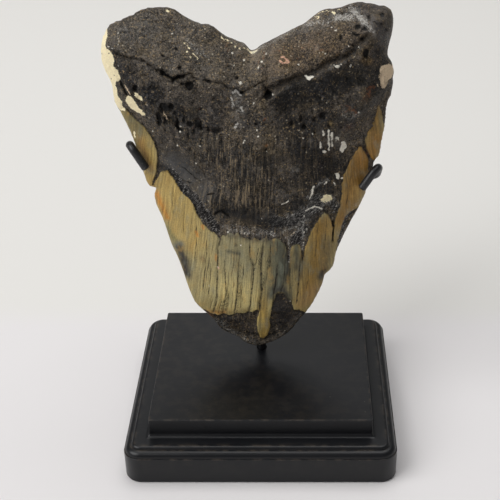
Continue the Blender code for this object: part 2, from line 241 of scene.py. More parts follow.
class Recipe:
    """A material put together step by step, with every length in millimetres."""

    noise_middle: float = 0.5

    def __init__(self, name: str) -> None:
        """Start from a plain shader."""
        self.material = bpy.data.materials.new(name)
        self.material.use_nodes = True
        self.tree = self.material.node_tree
        self.shader = self.tree.nodes["Principled BSDF"]

    def node(self, kind: str, **settings: object) -> bpy.types.Node:
        """Add a node with its settings."""
        made = self.tree.nodes.new(kind)
        for setting, value in settings.items():
            setattr(made, setting, value)
        return made

    def feed(self, socket: Socket, value: object) -> None:
        """Link a socket, or set it where the value is a number or colour.

        Args:
            socket: The input.
            value: Another node's output, or what it is set to.
        """
        if isinstance(value, bpy.types.NodeSocket):
            self.tree.links.new(value, socket)
        elif isinstance(value, tuple) and socket.type == "RGBA":
            socket.default_value = (*value, 1.0)
        else:
            socket.default_value = value

    def made(self, kind: str, feeds: dict[object, object], output: object = 0, **settings: object) -> Socket:
        """Add a node, feed its inputs by name or number, and give one of its outputs.

        Args:
            kind: The node's type.
            feeds: What goes into which input.
            output: The output's name or number.
            settings: The node's own settings.

        Returns:
            The output.
        """
        node = self.node(kind, **settings)
        for key, value in feeds.items():
            self.feed(node.inputs[key], value)
        return node.outputs[output]

    def math(self, operation: str, *values: Value) -> Socket:
        """Work out one number from one to three others."""
        return self.made("ShaderNodeMath", dict(enumerate(values)), operation=operation)

    def total(self, *values: Value) -> Socket:
        """Add several numbers."""
        result = values[0]
        for value in values[1:]:
            result = self.math("ADD", result, value)
        return result

    def times(self, *values: Value) -> Socket:
        """Multiply several numbers."""
        result = values[0]
        for value in values[1:]:
            result = self.math("MULTIPLY", result, value)
        return result

    def scaled(self, value: Value, factor: Value, offset: Value) -> Socket:
        """Multiply a number by a factor, and add an offset."""
        return self.math("MULTIPLY_ADD", value, factor, offset)

    def less(self, share: Value, amount: float) -> Socket:
        """Give 1, less an amount where a share is 1."""
        return self.scaled(share, -amount, 1.0)

    def swing(self, noise_value: Value, strength: Value) -> Socket:
        """Give a noise's swing to both sides of 0, at the given strength."""
        return self.times(self.math("SUBTRACT", noise_value, self.noise_middle), strength)

    def between(self, value: Value, low: float, high: float) -> Socket:
        """Rise smoothly from 0 at low to 1 at high, or fall where low is the larger."""
        feeds = {"Value": value, "From Min": low, "From Max": high}
        return self.made("ShaderNodeMapRange", feeds, interpolation_type="SMOOTHSTEP")

    def mixed(self, share: Value, first: Value, second: Value) -> Socket:
        """Mix two numbers."""
        return self.made("ShaderNodeMix", {0: share, 2: first, 3: second}, data_type="FLOAT")

    def blend(self, share: Value, first: object, second: object) -> Socket:
        """Mix two colours."""
        return self.made("ShaderNodeMix", {0: share, 6: first, 7: second}, 2, data_type="RGBA")

    def covered(self, colour: Socket, share: Value, strength: float, coat: object) -> Socket:
        """Lay a coat over a colour where a share says, at the given strength."""
        return self.blend(self.times(share, strength), colour, coat)

    def toned(self, colour: object, tone: Value) -> Socket:
        """Make a colour lighter or darker by a factor."""
        return self.made("ShaderNodeVectorMath", {0: colour, "Scale": tone}, operation="SCALE")

    def darkened(self, colour: Socket, share: Value, strength: float) -> Socket:
        """Darken a colour where a share says, at the given strength."""
        return self.toned(colour, self.less(share, strength))

    def stretch(self, at: Socket, factors: Triple) -> Socket:
        """Multiply a place by a factor along each axis."""
        return self.made("ShaderNodeVectorMath", {0: at, 1: factors}, operation="MULTIPLY")

    def place(self) -> Socket:
        """Give the place on the object in mm."""
        return self.stretch(self.made("ShaderNodeTexCoord", {}, "Object"), (1 / MM, 1 / MM, 1 / MM))

    def attribute(self, name: str, output: str = "Fac") -> Socket:
        """Read one of the mesh's own values."""
        return self.made("ShaderNodeAttribute", {}, output, attribute_name=name)

    def noise(self, at: Socket, grain: Grain) -> Socket:
        """Give soft noise around 0.5 at a place in mm."""
        at = self.stretch(at, grain.stretch) if grain.stretch else at
        feeds = {"Vector": at, "Scale": 1 / grain.spacing, "Detail": grain.detail, "Roughness": grain.rough}
        return self.made("ShaderNodeTexNoise", feeds)

    def patches(self, at: Socket, patches: Patches) -> Socket:
        """Give 1 on patches, 0 between them."""
        return self.between(self.noise(at, patches.grain), patches.low, patches.high)

    def specks(self, at: Socket, specks: Specks) -> Socket:
        """Give 1 on specks, 0 elsewhere.

        Args:
            at: The place in mm.
            specks: Their spacing and size.

        Returns:
            The share.
        """
        cells = self.node("ShaderNodeTexVoronoi")
        self.feed(cells.inputs["Vector"], at)
        self.feed(cells.inputs["Scale"], 1 / specks.spacing)
        number = self.made("ShaderNodeSeparateColor", {0: cells.outputs["Color"]})
        chosen = self.math("LESS_THAN", number, specks.share)
        border = self.between(cells.outputs["Distance"], specks.size, specks.size * specks.sharpness)
        return self.times(chosen, border)

    def raise_by(self, *layers: tuple[Value, float]) -> None:
        """Give the surface a fine relief.

        Args:
            layers: Each layer's share, and its height in mm where the share is 1.
        """
        height = self.total(*(self.times(share, rise) for share, rise in layers))
        bump = self.made("ShaderNodeBump", {"Distance": MM, "Height": height})
        self.feed(self.shader.inputs["Normal"], bump)

    def finish(self, **values: object) -> Material:
        """Set or link the shader's own sockets, named with _ for a space."""
        for name, value in values.items():
            self.feed(self.shader.inputs[name.replace("_", " ")], value)
        return self.material


@dataclass(frozen=True)
class LacquerFinish:
    """Satin black lacquer on moulded wood, with fine dust, and a lighter brown along the moulding's edges
    that is partly wear and partly a painted sheen.
    """

    black: Colour = srgb(15, 16, 19)
    rubbed_and_sheen: Colour = srgb(58, 52, 46)
    dust: Colour = srgb(120, 116, 108)
    roughness: float = 0.34
    shine: float = 0.34
    cloud: Grain = Grain(22.0, 3)
    cloud_strength: float = 0.22
    pores: Grain = Grain(0.9, 3, stretch=(0.25, 1.0, 1.0))
    pore_height: float = 0.015
    rub: Patches = Patches(Grain(3.5, 3), 0.42, 0.66)
    motes: Specks = Specks(2.6, 0.05, 0.07, 0.7)
    mote_roughness: float = 0.3
    mote_height: float = 0.02

    def material(self) -> Material:
        """Build the lacquer.

        Returns:
            The material.
        """
        recipe = Recipe("satin black lacquer")
        at = recipe.place()
        # The edges' lighter brown: partly wear, partly a painted sheen along the moulding.
        worn = recipe.times(recipe.attribute("arris"), recipe.patches(at, self.rub))
        colour = recipe.blend(worn, self.black, self.rubbed_and_sheen)
        motes = recipe.specks(at, self.motes)
        colour = recipe.covered(colour, motes, self.motes.strength, self.dust)
        smear = recipe.swing(recipe.noise(at, self.cloud), self.cloud_strength)
        gloss = recipe.total(smear, self.roughness, recipe.times(motes, self.mote_roughness))
        recipe.raise_by((recipe.noise(at, self.pores), self.pore_height), (motes, self.mote_height))
        return recipe.finish(Base_Color=colour, Roughness=gloss, Specular_IOR_Level=self.shine)


@dataclass(frozen=True)
class RodPaint:
    """Satin black paint on steel rod: a faint orange peel, and steel at the cut ends' rims."""

    black: Colour = srgb(20, 20, 22)
    bare: Colour = srgb(84, 82, 80)
    roughness: float = 0.28
    shine: float = 0.5
    cloud: Grain = Grain(4.0)
    cloud_strength: float = 0.2
    peel: Grain = Grain(0.7)
    peel_height: float = 0.02
    rub: Patches = Patches(Grain(0.5, 3), 0.5, 0.7, 0.6)

    def material(self) -> Material:
        """Build the paint.

        Returns:
            The material.
        """
        recipe = Recipe("satin black rod paint")
        at = recipe.place()
        worn = recipe.times(recipe.attribute("rim"), recipe.patches(at, self.rub))
        colour = recipe.covered(self.black, worn, self.rub.strength, self.bare)
        gloss = recipe.scaled(recipe.noise(at, self.cloud), self.cloud_strength, self.roughness)
        recipe.raise_by((recipe.noise(at, self.peel), self.peel_height))
        return recipe.finish(Base_Color=colour, Roughness=gloss, Specular_IOR_Level=self.shine)


@dataclass(frozen=True)
class RootFinish:
    """The bare, stony part of the tooth: root, dark band and broken tip."""

    ochre_colour: Colour = srgb(176, 150, 108)
    grain_colour: Colour = srgb(190, 180, 160)
    slate_colour: Colour = srgb(58, 61, 66)
    umber_colour: Colour = srgb(98, 82, 52)
    pore_shadow_colour: Colour = srgb(10, 9, 9)
    fibre_colour: Colour = srgb(150, 132, 104)
    rust_colour: Colour = srgb(128, 74, 36)
    crust_colour: Colour = srgb(23, 22, 24)
    hatch_colour: Colour = srgb(182, 178, 172)
    polish_calm: float = 0.62
    leather: Grain = Grain(1.7, 5, 0.66)
    leather_tone: float = 2.4
    pitted_tone: float = 1.6
    fine_tone: float = 5.0
    broad: Grain = Grain(9.0, 3)
    broad_tone: float = 1.7
    middle_tone: float = 0.72
    darkest_tone: float = 0.14
    mottle: Grain = Grain(6.5, 4, 0.62)
    slate_levels: Place = (0.5, 0.66)
    umber_levels: Place = (0.48, 0.34)
    mottle_strength: float = 0.4
    shaded_holes: Patches = Patches(Grain(2.3, 5, 0.68), 0.36, 0.26, 0.85)
    hole_growth: float = 0.13
    hole_border: Place = (0.1, 0.5)
    ochre: Patches = Patches(Grain(0.7, 3, 0.7), 0.57, 0.67, 0.7)
    grains: Specks = Specks(1.4, 0.34, 0.26, 0.7)
    clusters: Patches = Patches(Grain(7.0, 3), 0.4, 0.6)
    pores: Specks = Specks(1.9, 0.3, 0.24, 0.8)
    fibres: Grain = Grain(1.0, 4, 0.7, (1.25, 0.085, 1.0))
    brown_fibres: Place = (0.49, 0.4)
    brown_strength: float = 0.66
    black_fibres: Place = (0.5, 0.6)
    black_strength: float = 0.88
    split: Patches = Patches(Grain(1.0, 2, 0.5, (0.9, 0.22, 1.0)), 0.36, 0.5)
    soot: Patches = Patches(Grain(4.2, 5, 0.7), 0.44, 0.56, 0.84)
    rust: Patches = Patches(Grain(1.3, 4, 0.7), 0.64, 0.84, 0.7)
    rust_pull: float = 0.3
    clump: Grain = Grain(1.0, 4, 0.66)
    clump_pull: float = 0.9
    crust_border: Place = (0.82, 1.1)
    crust_strength: float = 0.92
    coal_tone: Place = (2.4, -0.2)
    hatch: Patches = Patches(Grain(1.0, 4, 0.7, (0.75, 2.6, 1.0)), 0.52, 0.6, 0.75)
    hatch_degrees: float = -38.0
    hatch_border: Place = (0.15, 0.6)
    leather_height: float = 1.0
    fine_height: float = 0.34
    pore_height: float = -0.25
    hole_height: float = -0.6
    clump_height: float = 0.6
    hatch_height: float = 0.12
    fibre_height: float = -0.1

    def layers(self, recipe: Recipe, at: Socket, fine: Socket) -> tuple[Socket, Socket]:
        """Build the stony part.

        Args:
            recipe: The material in the making.
            at: The place in mm.
            fine: The fine noise that everything shares.

        Returns:
            Its colour and its relief in mm.
        """
        pitted = recipe.attribute("pitted")
        lively = recipe.less(recipe.attribute("polish"), self.polish_calm)
        leather = recipe.noise(at, self.leather)
        swing = recipe.total(
            recipe.swing(leather, recipe.scaled(pitted, self.pitted_tone, self.leather_tone)),
            recipe.swing(fine, self.fine_tone),
            recipe.swing(recipe.noise(at, self.broad), self.broad_tone),
        )
        tone = recipe.math("MAXIMUM", recipe.scaled(swing, lively, self.middle_tone), self.darkest_tone)
        colour = recipe.attribute("root_paint", "Color")
        mottle = recipe.noise(at, self.mottle)
        slate = recipe.between(mottle, *self.slate_levels)
        colour = recipe.covered(colour, slate, self.mottle_strength, self.slate_colour)
        umber = recipe.between(mottle, *self.umber_levels)
        colour = recipe.covered(colour, umber, self.mottle_strength, self.umber_colour)
        colour = recipe.toned(colour, tone)

        # Painted shade: the holes and the pores are darkened as well as sunk.
        shaded_holes = recipe.scaled(pitted, -self.hole_growth, recipe.noise(at, self.shaded_holes.grain))
        shaded_holes = recipe.between(shaded_holes, self.shaded_holes.low, self.shaded_holes.high)
        shaded_holes = recipe.times(shaded_holes, recipe.between(pitted, *self.hole_border))
        colour = recipe.darkened(colour, shaded_holes, self.shaded_holes.strength)
        ochre = recipe.times(recipe.patches(at, self.ochre), lively)
        colour = recipe.covered(colour, ochre, self.ochre.strength, self.ochre_colour)
        grains = recipe.times(recipe.specks(at, self.grains), lively, recipe.patches(at, self.clusters))
        colour = recipe.covered(colour, grains, self.grains.strength, self.grain_colour)
        pores = recipe.times(recipe.specks(at, self.pores), lively)
        colour = recipe.covered(colour, pores, self.pores.strength, self.pore_shadow_colour)

        grain = recipe.attribute("grain", "Vector")
        fibrous = recipe.attribute("fibrous")
        fibres = recipe.noise(grain, self.fibres)
        brown = recipe.times(recipe.between(fibres, *self.brown_fibres), fibrous)
        black = recipe.times(recipe.between(fibres, *self.black_fibres), fibrous)
        black = recipe.times(black, recipe.patches(grain, self.split))
        colour = recipe.covered(colour, brown, self.brown_strength, self.fibre_colour)
        colour = recipe.darkened(colour, black, self.black_strength)
        soot = recipe.times(recipe.patches(at, self.soot), recipe.attribute("sooty"))
        colour = recipe.darkened(colour, soot, self.soot.strength)
        rust = recipe.scaled(recipe.attribute("rust"), self.rust_pull, recipe.noise(at, self.rust.grain))
        rust = recipe.between(rust, self.rust.low, self.rust.high)
        colour = recipe.covered(colour, rust, self.rust.strength, self.rust_colour)

        crust = recipe.attribute("crust")
        clump = recipe.noise(at, self.clump)
        crusty = recipe.between(recipe.scaled(clump, self.clump_pull, crust), *self.crust_border)
        coal = recipe.toned(self.crust_colour, recipe.scaled(clump, *self.coal_tone))
        colour = recipe.covered(colour, crusty, self.crust_strength, coal)
        turn = {"Vector": grain, "Angle": math.radians(self.hatch_degrees)}
        turned = recipe.made("ShaderNodeVectorRotate", turn, rotation_type="Z_AXIS")
        hatch = recipe.times(recipe.patches(turned, self.hatch), recipe.between(crust, *self.hatch_border))
        colour = recipe.covered(colour, hatch, self.hatch.strength, self.hatch_colour)

        height = recipe.total(
            recipe.times(leather, lively, self.leather_height),
            recipe.times(fine, lively, self.fine_height),
            recipe.times(pores, self.pore_height),
            recipe.times(shaded_holes, self.hole_height),
            recipe.times(clump, crust, self.clump_height),
            recipe.times(hatch, self.hatch_height),
            recipe.times(black, self.fibre_height),
        )
        return colour, height


@dataclass(frozen=True)
class EnamelFinish:
    """The glazed part of the tooth, with its fibres, thin lines and open cracks."""

    line_colour: Colour = srgb(70, 60, 40)
    crack_colour: Colour = srgb(20, 18, 15)
    grey_colour: Colour = srgb(126, 130, 112)
    ochre_colour: Colour = srgb(176, 140, 72)
    mottle: Grain = Grain(1.0, 4, 0.6, (0.3, 0.13, 1.0))
    grey_levels: Place = (0.5, 0.7)
    grey_strength: float = 0.4
    ochre_levels: Place = (0.48, 0.3)
    ochre_strength: float = 0.5
    fibres: Grain = Grain(1.0, 4, 0.66, (1.5, 0.06, 1.0))
    fibre_tone: float = 2.1
    fine_tone: float = 1.1
    lines: Patches = Patches(Grain(1.0, 2, 0.5, (2.1, 0.05, 1.0)), 0.58, 0.64, 0.7)
    line_gaps: Patches = Patches(Grain(1.0, 3, 0.5, (0.8, 0.22, 1.0)), 0.42, 0.56)
    chatter: Grain = Grain(1.0, 5, 0.75, (0.9, 0.8, 1.0))
    chatter_width: Place = (6.4, -2.5)
    crack_border: Place = (0.12, -0.06)
    crack_ends: Place = (0.01, 0.1)
    crack_gaps: Patches = Patches(Grain(1.0, 3, 0.6, (0.5, 0.35, 1.0)), 0.34, 0.6)
    crack_strength: float = 0.9
    stain_width: float = 1.6
    stain_border: Place = (0.5, -0.1)
    stain_ends: Place = (0.05, 0.3)
    stain_strength: float = 0.4
    dots: Specks = Specks(2.3, 0.2, 0.13, 0.5)
    fibre_height: float = 0.14
    line_height: float = -0.1
    crack_height: float = -0.3
    fine_height: float = 0.05

    def layers(self, recipe: Recipe, at: Socket, fine: Socket) -> tuple[Socket, Socket]:
        """Build the glazed part.

        Args:
            recipe: The material in the making.
            at: The place in mm.
            fine: The fine noise that everything shares.

        Returns:
            Its colour and its relief in mm.
        """
        grain = recipe.attribute("grain", "Vector")
        colour = recipe.attribute("enamel_paint", "Color")
        mottle = recipe.noise(grain, self.mottle)
        grey = recipe.between(mottle, *self.grey_levels)
        colour = recipe.covered(colour, grey, self.grey_strength, self.grey_colour)
        ochre = recipe.between(mottle, *self.ochre_levels)
        colour = recipe.covered(colour, ochre, self.ochre_strength, self.ochre_colour)
        fibres = recipe.noise(grain, self.fibres)
        tone = recipe.total(recipe.swing(fibres, self.fibre_tone), recipe.swing(fine, self.fine_tone), 1.0)
        colour = recipe.toned(colour, tone)
        lines = recipe.times(recipe.patches(grain, self.lines), recipe.patches(grain, self.line_gaps))
        lines = recipe.times(lines, recipe.attribute("fibrous"))
        colour = recipe.covered(colour, lines, self.lines.strength, self.line_colour)

        side = recipe.math("ABSOLUTE", recipe.attribute("crack_side"))
        open_by = recipe.attribute("crack_width")
        width = recipe.times(open_by, recipe.scaled(recipe.noise(grain, self.chatter), *self.chatter_width))
        crack = recipe.times(
            recipe.between(recipe.math("SUBTRACT", side, width), *self.crack_border),
            recipe.between(open_by, *self.crack_ends),
            recipe.patches(grain, self.crack_gaps),
        )
        stain = recipe.math("SUBTRACT", side, recipe.times(open_by, self.stain_width))
        stain = recipe.between(stain, *self.stain_border)
        stain = recipe.times(stain, recipe.between(open_by, *self.stain_ends))
        colour = recipe.covered(colour, stain, self.stain_strength, self.line_colour)
        colour = recipe.covered(colour, crack, self.crack_strength, self.crack_colour)
        colour = recipe.covered(colour, recipe.specks(at, self.dots), self.dots.strength, self.line_colour)
        height = recipe.total(
            recipe.times(fibres, self.fibre_height),
            recipe.times(lines, self.line_height),
            recipe.times(crack, self.crack_height),
            recipe.times(fine, self.fine_height),
        )
        return colour, height


@dataclass(frozen=True)
class FossilFinish:
    """The tooth's surface: stony root, fibrous enamel with cracks, pale scars and dust, with painted shade in
    its hollows and creases and a few painted highlights among the dust.
    """

    root: RootFinish = RootFinish()
    enamel: EnamelFinish = EnamelFinish()
    dust_and_highlight_colour: Colour = srgb(196, 193, 186)
    fine: Grain = Grain(0.5, 3, 0.7)
    ragged: Grain = Grain(1.2, 4, 0.62)
    border: Place = (-0.08, 0.14)
    enamel_fray: float = 1.5
    rim_below: Place = (-0.9, -0.1)
    rim_above: Place = (0.2, 0.0)
    rim_gaps: Place = (-0.06, 0.1)
    rim_shadow_strength: float = 0.45
    pale_fray: float = 0.8
    pale_fine: float = 1.0
    pale_spots: Specks = Specks(1.5, 0.2, 0.24, 0.85)
    pale_tone: Place = (0.7, 0.68)
    drift: Patches = Patches(Grain(0.55, 4, 0.8), 0.72, 0.82, 0.85)
    drift_pull: float = 0.4
    dust_border: Place = (0.02, 0.25)
    haze: Patches = Patches(Grain(1.6, 3), 0.4, 0.66, 0.34)
    hollow_fray: float = 0.9
    hollow_border: Place = (0.42, 0.62)
    seam_fray: float = 1.5
    seam_border: Place = (0.16, -0.14)
    dark_strength: float = 0.9
    hollow_shade: float = 0.5
    shade_strength: float = 0.85
    shade_spares_pale: float = 0.9
    root_roughness: float = 0.76
    fine_polish: float = -0.5
    worn_polish: float = -0.26
    enamel_roughness: Place = (0.2, 0.32)
    pale_roughness: float = 0.66
    root_shine: Place = (0.14, 0.26)
    enamel_shine: float = 0.34
    dust_height: float = 0.06
    pale_height: float = 0.08
    dark_height: float = -0.3

    def material(self) -> Material:
        """Build the whole surface from the values that the mesh carries.

        Returns:
            The material.
        """
        recipe = Recipe("mineralised tooth")
        at = recipe.place()
        fine = recipe.noise(at, self.fine)
        fray = recipe.swing(recipe.noise(at, self.ragged), 1.0)

        root, root_height = self.root.layers(recipe, at, fine)
        enamel, enamel_height = self.enamel.layers(recipe, at, fine)
        glazed = recipe.scaled(fray, self.enamel_fray, recipe.attribute("enamel_edge"))
        on_enamel = recipe.between(glazed, *self.border)
        colour = recipe.blend(on_enamel, root, enamel)
        # Painted shade: a thin, broken dark line along the enamel's border, mostly on the bare side at the
        # foot of its ledge.
        rim = recipe.times(
            recipe.between(glazed, *self.rim_below),
            recipe.between(glazed, *self.rim_above),
            recipe.between(fray, *self.rim_gaps),
        )
        colour = recipe.darkened(colour, rim, self.rim_shadow_strength)

        scars = recipe.scaled(fray, self.pale_fray, recipe.attribute("pale_edge"))
        scars = recipe.between(recipe.total(scars, recipe.swing(fine, self.pale_fine)), *self.border)
        scars = recipe.times(scars, recipe.less(recipe.specks(at, self.pale_spots), self.pale_spots.strength))
        pale = recipe.toned(recipe.attribute("pale_paint", "Color"), recipe.scaled(fine, *self.pale_tone))
        colour = recipe.blend(scars, colour, pale)
        # Dust, which also carries painted highlights where a ridge or rim catches light.
        dust_and_highlights = recipe.attribute("dust")
        haze = recipe.times(recipe.patches(at, self.haze), dust_and_highlights)
        colour = recipe.covered(colour, haze, self.haze.strength, self.dust_and_highlight_colour)
        drift = recipe.scaled(dust_and_highlights, self.drift_pull, recipe.noise(at, self.drift.grain))
        drift = recipe.between(drift, self.drift.low, self.drift.high)
        drift = recipe.times(drift, recipe.between(dust_and_highlights, *self.dust_border))
        colour = recipe.covered(colour, drift, self.drift.strength, self.dust_and_highlight_colour)

        # Painted shade: the hollows get a dark core and a softer darkening overall. The seams darken the
        # crease and fine cracks, partly as painted shade, and the shade strokes lay soft painted shade. Pale
        # scars are mostly spared.
        shaded_hollows = recipe.attribute("hollow")
        hollow_shade_core = recipe.between(recipe.scaled(fray, self.hollow_fray, shaded_hollows), *self.hollow_border)
        seam = recipe.scaled(fray, self.seam_fray, recipe.attribute("seam"))
        dark = recipe.math("MAXIMUM", hollow_shade_core, recipe.between(seam, *self.seam_border))
        soft = recipe.math("MAXIMUM", recipe.times(shaded_hollows, self.hollow_shade), recipe.attribute("shade"))
        soft = recipe.times(soft, recipe.less(scars, self.shade_spares_pale))
        colour = recipe.darkened(colour, dark, self.dark_strength)
        colour = recipe.darkened(colour, soft, self.shade_strength)

        polish = recipe.attribute("polish")
        smoothed = recipe.total(recipe.times(fine, self.fine_polish), recipe.times(polish, self.worn_polish))
        stony = recipe.total(self.root_roughness, smoothed)
        gloss = recipe.mixed(on_enamel, stony, recipe.scaled(fine, *self.enamel_roughness))
        gloss = recipe.mixed(recipe.math("MAXIMUM", drift, scars), gloss, self.pale_roughness)
        shine = recipe.mixed(on_enamel, recipe.scaled(polish, *self.root_shine), self.enamel_shine)
        recipe.raise_by(
            (recipe.mixed(on_enamel, root_height, enamel_height), 1.0),
            (drift, self.dust_height),
            (scars, self.pale_height),
            (dark, self.dark_height),
        )
        return recipe.finish(Base_Color=colour, Roughness=gloss, Specular_IOR_Level=shine)


@dataclass
class MouldedBase:
    """The black block: a wall, a bead, a shoulder, a ledge and a raised plateau with a cove."""

    width: float = 101.6 * MM
    depth: float = 88.9 * MM
    height: float = 22.2 * MM
    corner_radius: float = 6.5 * MM
    sharpest_corner: float = 0.6 * MM
    corner_segments: int = 14
    foot_round: float = 0.8 * MM
    wall_top: float = 11.3 * MM
    quirk: float = 0.4 * MM
    arris: float = 0.16 * MM
    bead_radius: float = 2.2 * MM
    shoulder_inset: float = 2.9 * MM
    shoulder_reach: float = 1.2 * MM
    ledge_height: float = 14.6 * MM
    cove_inset: float = 7.8 * MM
    cove_radius: float = 1.5 * MM
    plateau_round: float = 0.35 * MM
    rub_reach: float = 0.4 * MM
    hole_place: Place = (-0.8 * MM, 10.6 * MM)
    hole_radius: float = 2.1 * MM
    hole_depth: float = 12.0 * MM
    hole_sides: int = 48
    arris_steps: int = 3
    bead_steps: int = 12
    shoulder_steps: int = 8
    cove_steps: int = 10
    plateau_steps: int = 4
    foot_steps: int = 5
    sharp_degrees: float = 28.0
    inset: float = field(default=0.0, init=False)

    def step(self, bm: BMesh, face: BMFace, inwards: float, upwards: float) -> None:
        """Take the block's top face inwards and upwards by one step of the moulding.

        Args:
            bm: The block in the making.
            face: Its present top face.
            inwards: How far each side moves in.
            upwards: How far it rises.
        """
        radius = max(self.corner_radius - self.inset, self.sharpest_corner)
        shrinking = min(inwards, radius - self.sharpest_corner)
        self.inset += inwards
        if inwards <= shrinking:
            bmesh.ops.inset_region(
                bm, faces=[face], thickness=inwards, depth=upwards, use_even_offset=True, use_boundary=True
            )
            return
        bmesh.ops.inset_region(bm, faces=[face], thickness=0.0, depth=upwards, use_boundary=True)
        for vert in face.verts:
            vert.co.x -= math.copysign(inwards, vert.co.x)
            vert.co.y -= math.copysign(inwards, vert.co.y)

    @staticmethod
    def quarter(steps: int) -> list[Place]:
        """Split a quarter round: how far each step goes along its first and its last direction."""
        angles = [math.pi / 2 * step / steps for step in range(steps + 1)]
        turns = zip(angles, angles[1:])
        return [(math.sin(high) - math.sin(low), math.cos(low) - math.cos(high)) for low, high in turns]

    def convex(self, bm: BMesh, face: BMFace, run: float, rise: float, steps: int) -> None:
        """Turn over a rounded edge: a quarter round that starts upright and ends level."""
        for upwards, inwards in self.quarter(steps):
            self.step(bm, face, run * inwards, rise * upwards)

    def hollow(self, bm: BMesh, face: BMFace, radius: float, steps: int) -> None:
        """Turn up a hollow moulding: a quarter round that starts level and ends upright."""
        for inwards, upwards in self.quarter(steps):
            self.step(bm, face, radius * inwards, radius * upwards)

    def block(self) -> BMesh:
        """Mould the block from a rounded plate upwards, then round its foot.

        Returns:
            The block, without its hole.
        """
        bm = bmesh.new()
        plate = Matrix.Translation((0, 0, self.foot_round)) @ Matrix.Diagonal((self.width, self.depth, 1, 1))
        bmesh.ops.create_grid(bm, x_segments=1, y_segments=1, size=0.5, matrix=plate)
        bmesh.ops.bevel(
            bm,
            geom=bm.verts[:],
            offset=self.corner_radius,
            offset_type="OFFSET",
            affect="VERTICES",
            segments=self.corner_segments,
            profile=0.5,
            material=-1,
        )
        underside = bm.faces[:][0]
        grown = bmesh.ops.extrude_face_region(bm, geom=[underside], use_keep_orig=True)
        top = next(part for part in grown["geom"] if isinstance(part, BMFace))
        rise = self.wall_top - self.foot_round - self.arris
        bmesh.ops.translate(bm, verts=top.verts, vec=(0, 0, rise - self.rub_reach))
        bmesh.ops.recalc_face_normals(bm, faces=bm.faces)

        self.inset = 0.0
        self.step(bm, top, 0.0, self.rub_reach)
        self.convex(bm, top, self.arris, self.arris, self.arris_steps)
        self.step(bm, top, self.quirk - self.arris, 0.0)
        self.convex(bm, top, self.bead_radius, self.bead_radius, self.bead_steps)
        self.step(bm, top, self.shoulder_inset - self.inset, 0.0)
        shoulder_rise = self.ledge_height - self.wall_top - self.bead_radius
        self.convex(bm, top, self.shoulder_reach, shoulder_rise, self.shoulder_steps)
        self.step(bm, top, self.rub_reach, 0.0)
        self.step(bm, top, self.corner_radius - self.sharpest_corner - self.inset, 0.0)
        self.step(bm, top, self.cove_inset - self.inset, 0.0)
        self.hollow(bm, top, self.cove_radius, self.cove_steps)
        plateau_rise = self.height - self.ledge_height - self.cove_radius - self.plateau_round
        self.step(bm, top, 0.0, plateau_rise - self.rub_reach)
        self.step(bm, top, 0.0, self.rub_reach)
        self.convex(bm, top, self.plateau_round, self.plateau_round, self.plateau_steps)
        self.step(bm, top, self.rub_reach, 0.0)

        self.inset = 0.0
        self.convex(bm, underside, self.foot_round, self.foot_round, self.foot_steps)
        return bm

    def build(self, finish: LacquerFinish) -> Object:
        """Mould the block, drill it and lacquer it.

        Args:
            finish: Its lacquer.

        Returns:
            The finished piece.
        """
        name = "lacquered_base"
        block = link_piece(name, mesh_of(self.block(), name), finish.material())
        bm = bmesh.new()
        bmesh.ops.create_cone(
            bm,
            cap_ends=True,
            segments=self.hole_sides,
            radius1=self.hole_radius,
            radius2=self.hole_radius,
            depth=2 * self.hole_depth,
            matrix=Matrix.Translation((*self.hole_place, self.height)),
        )
        drill = link_piece("drill", mesh_of(bm, "drill"), None)
        cut = block.modifiers.new("stem hole", "BOOLEAN")
        cut.operation = "DIFFERENCE"
        cut.solver = "EXACT"
        cut.object = drill
        bpy.context.view_layer.update()
        depsgraph = bpy.context.evaluated_depsgraph_get()
        drilled = bpy.data.meshes.new_from_object(block.evaluated_get(depsgraph))
        block.modifiers.clear()
        block.data = drilled
        bpy.data.objects.remove(drill, do_unlink=True)
        drilled.shade_smooth()
        drilled.set_sharp_from_angle(angle=math.radians(self.sharp_degrees))
        self.mark_arrises(drilled)
        return block

    def mark_arrises(self, mesh: Mesh) -> None:
        """Tell the lacquer where the moulding's edges get their lighter brown, partly wear and partly a
        painted sheen.

        Args:
            mesh: The drilled block.
        """
        places = np.array([vert.co for vert in mesh.vertices])
        straight = np.array((self.width, self.depth)) / 2 - self.corner_radius
        beyond = np.abs(places[:, :2]) - straight
        rounded = np.hypot(*np.maximum(beyond, 0).T) + np.minimum(beyond.max(axis=1), 0)
        inset = self.corner_radius - rounded
        rubbed_and_sheen = np.zeros(len(places))
        for height, edge in (
            (self.wall_top, self.arris),
            (self.wall_top + self.bead_radius, self.quirk + self.bead_radius),
            (self.ledge_height, self.shoulder_inset + self.shoulder_reach),
            (self.height, self.cove_inset + self.cove_radius + self.plateau_round),
        ):
            away = np.hypot(places[:, 2] - height, inset - edge)
            rubbed_and_sheen = np.maximum(rubbed_and_sheen, bell(away, self.rub_reach))
        store(mesh, "arris", rubbed_and_sheen)


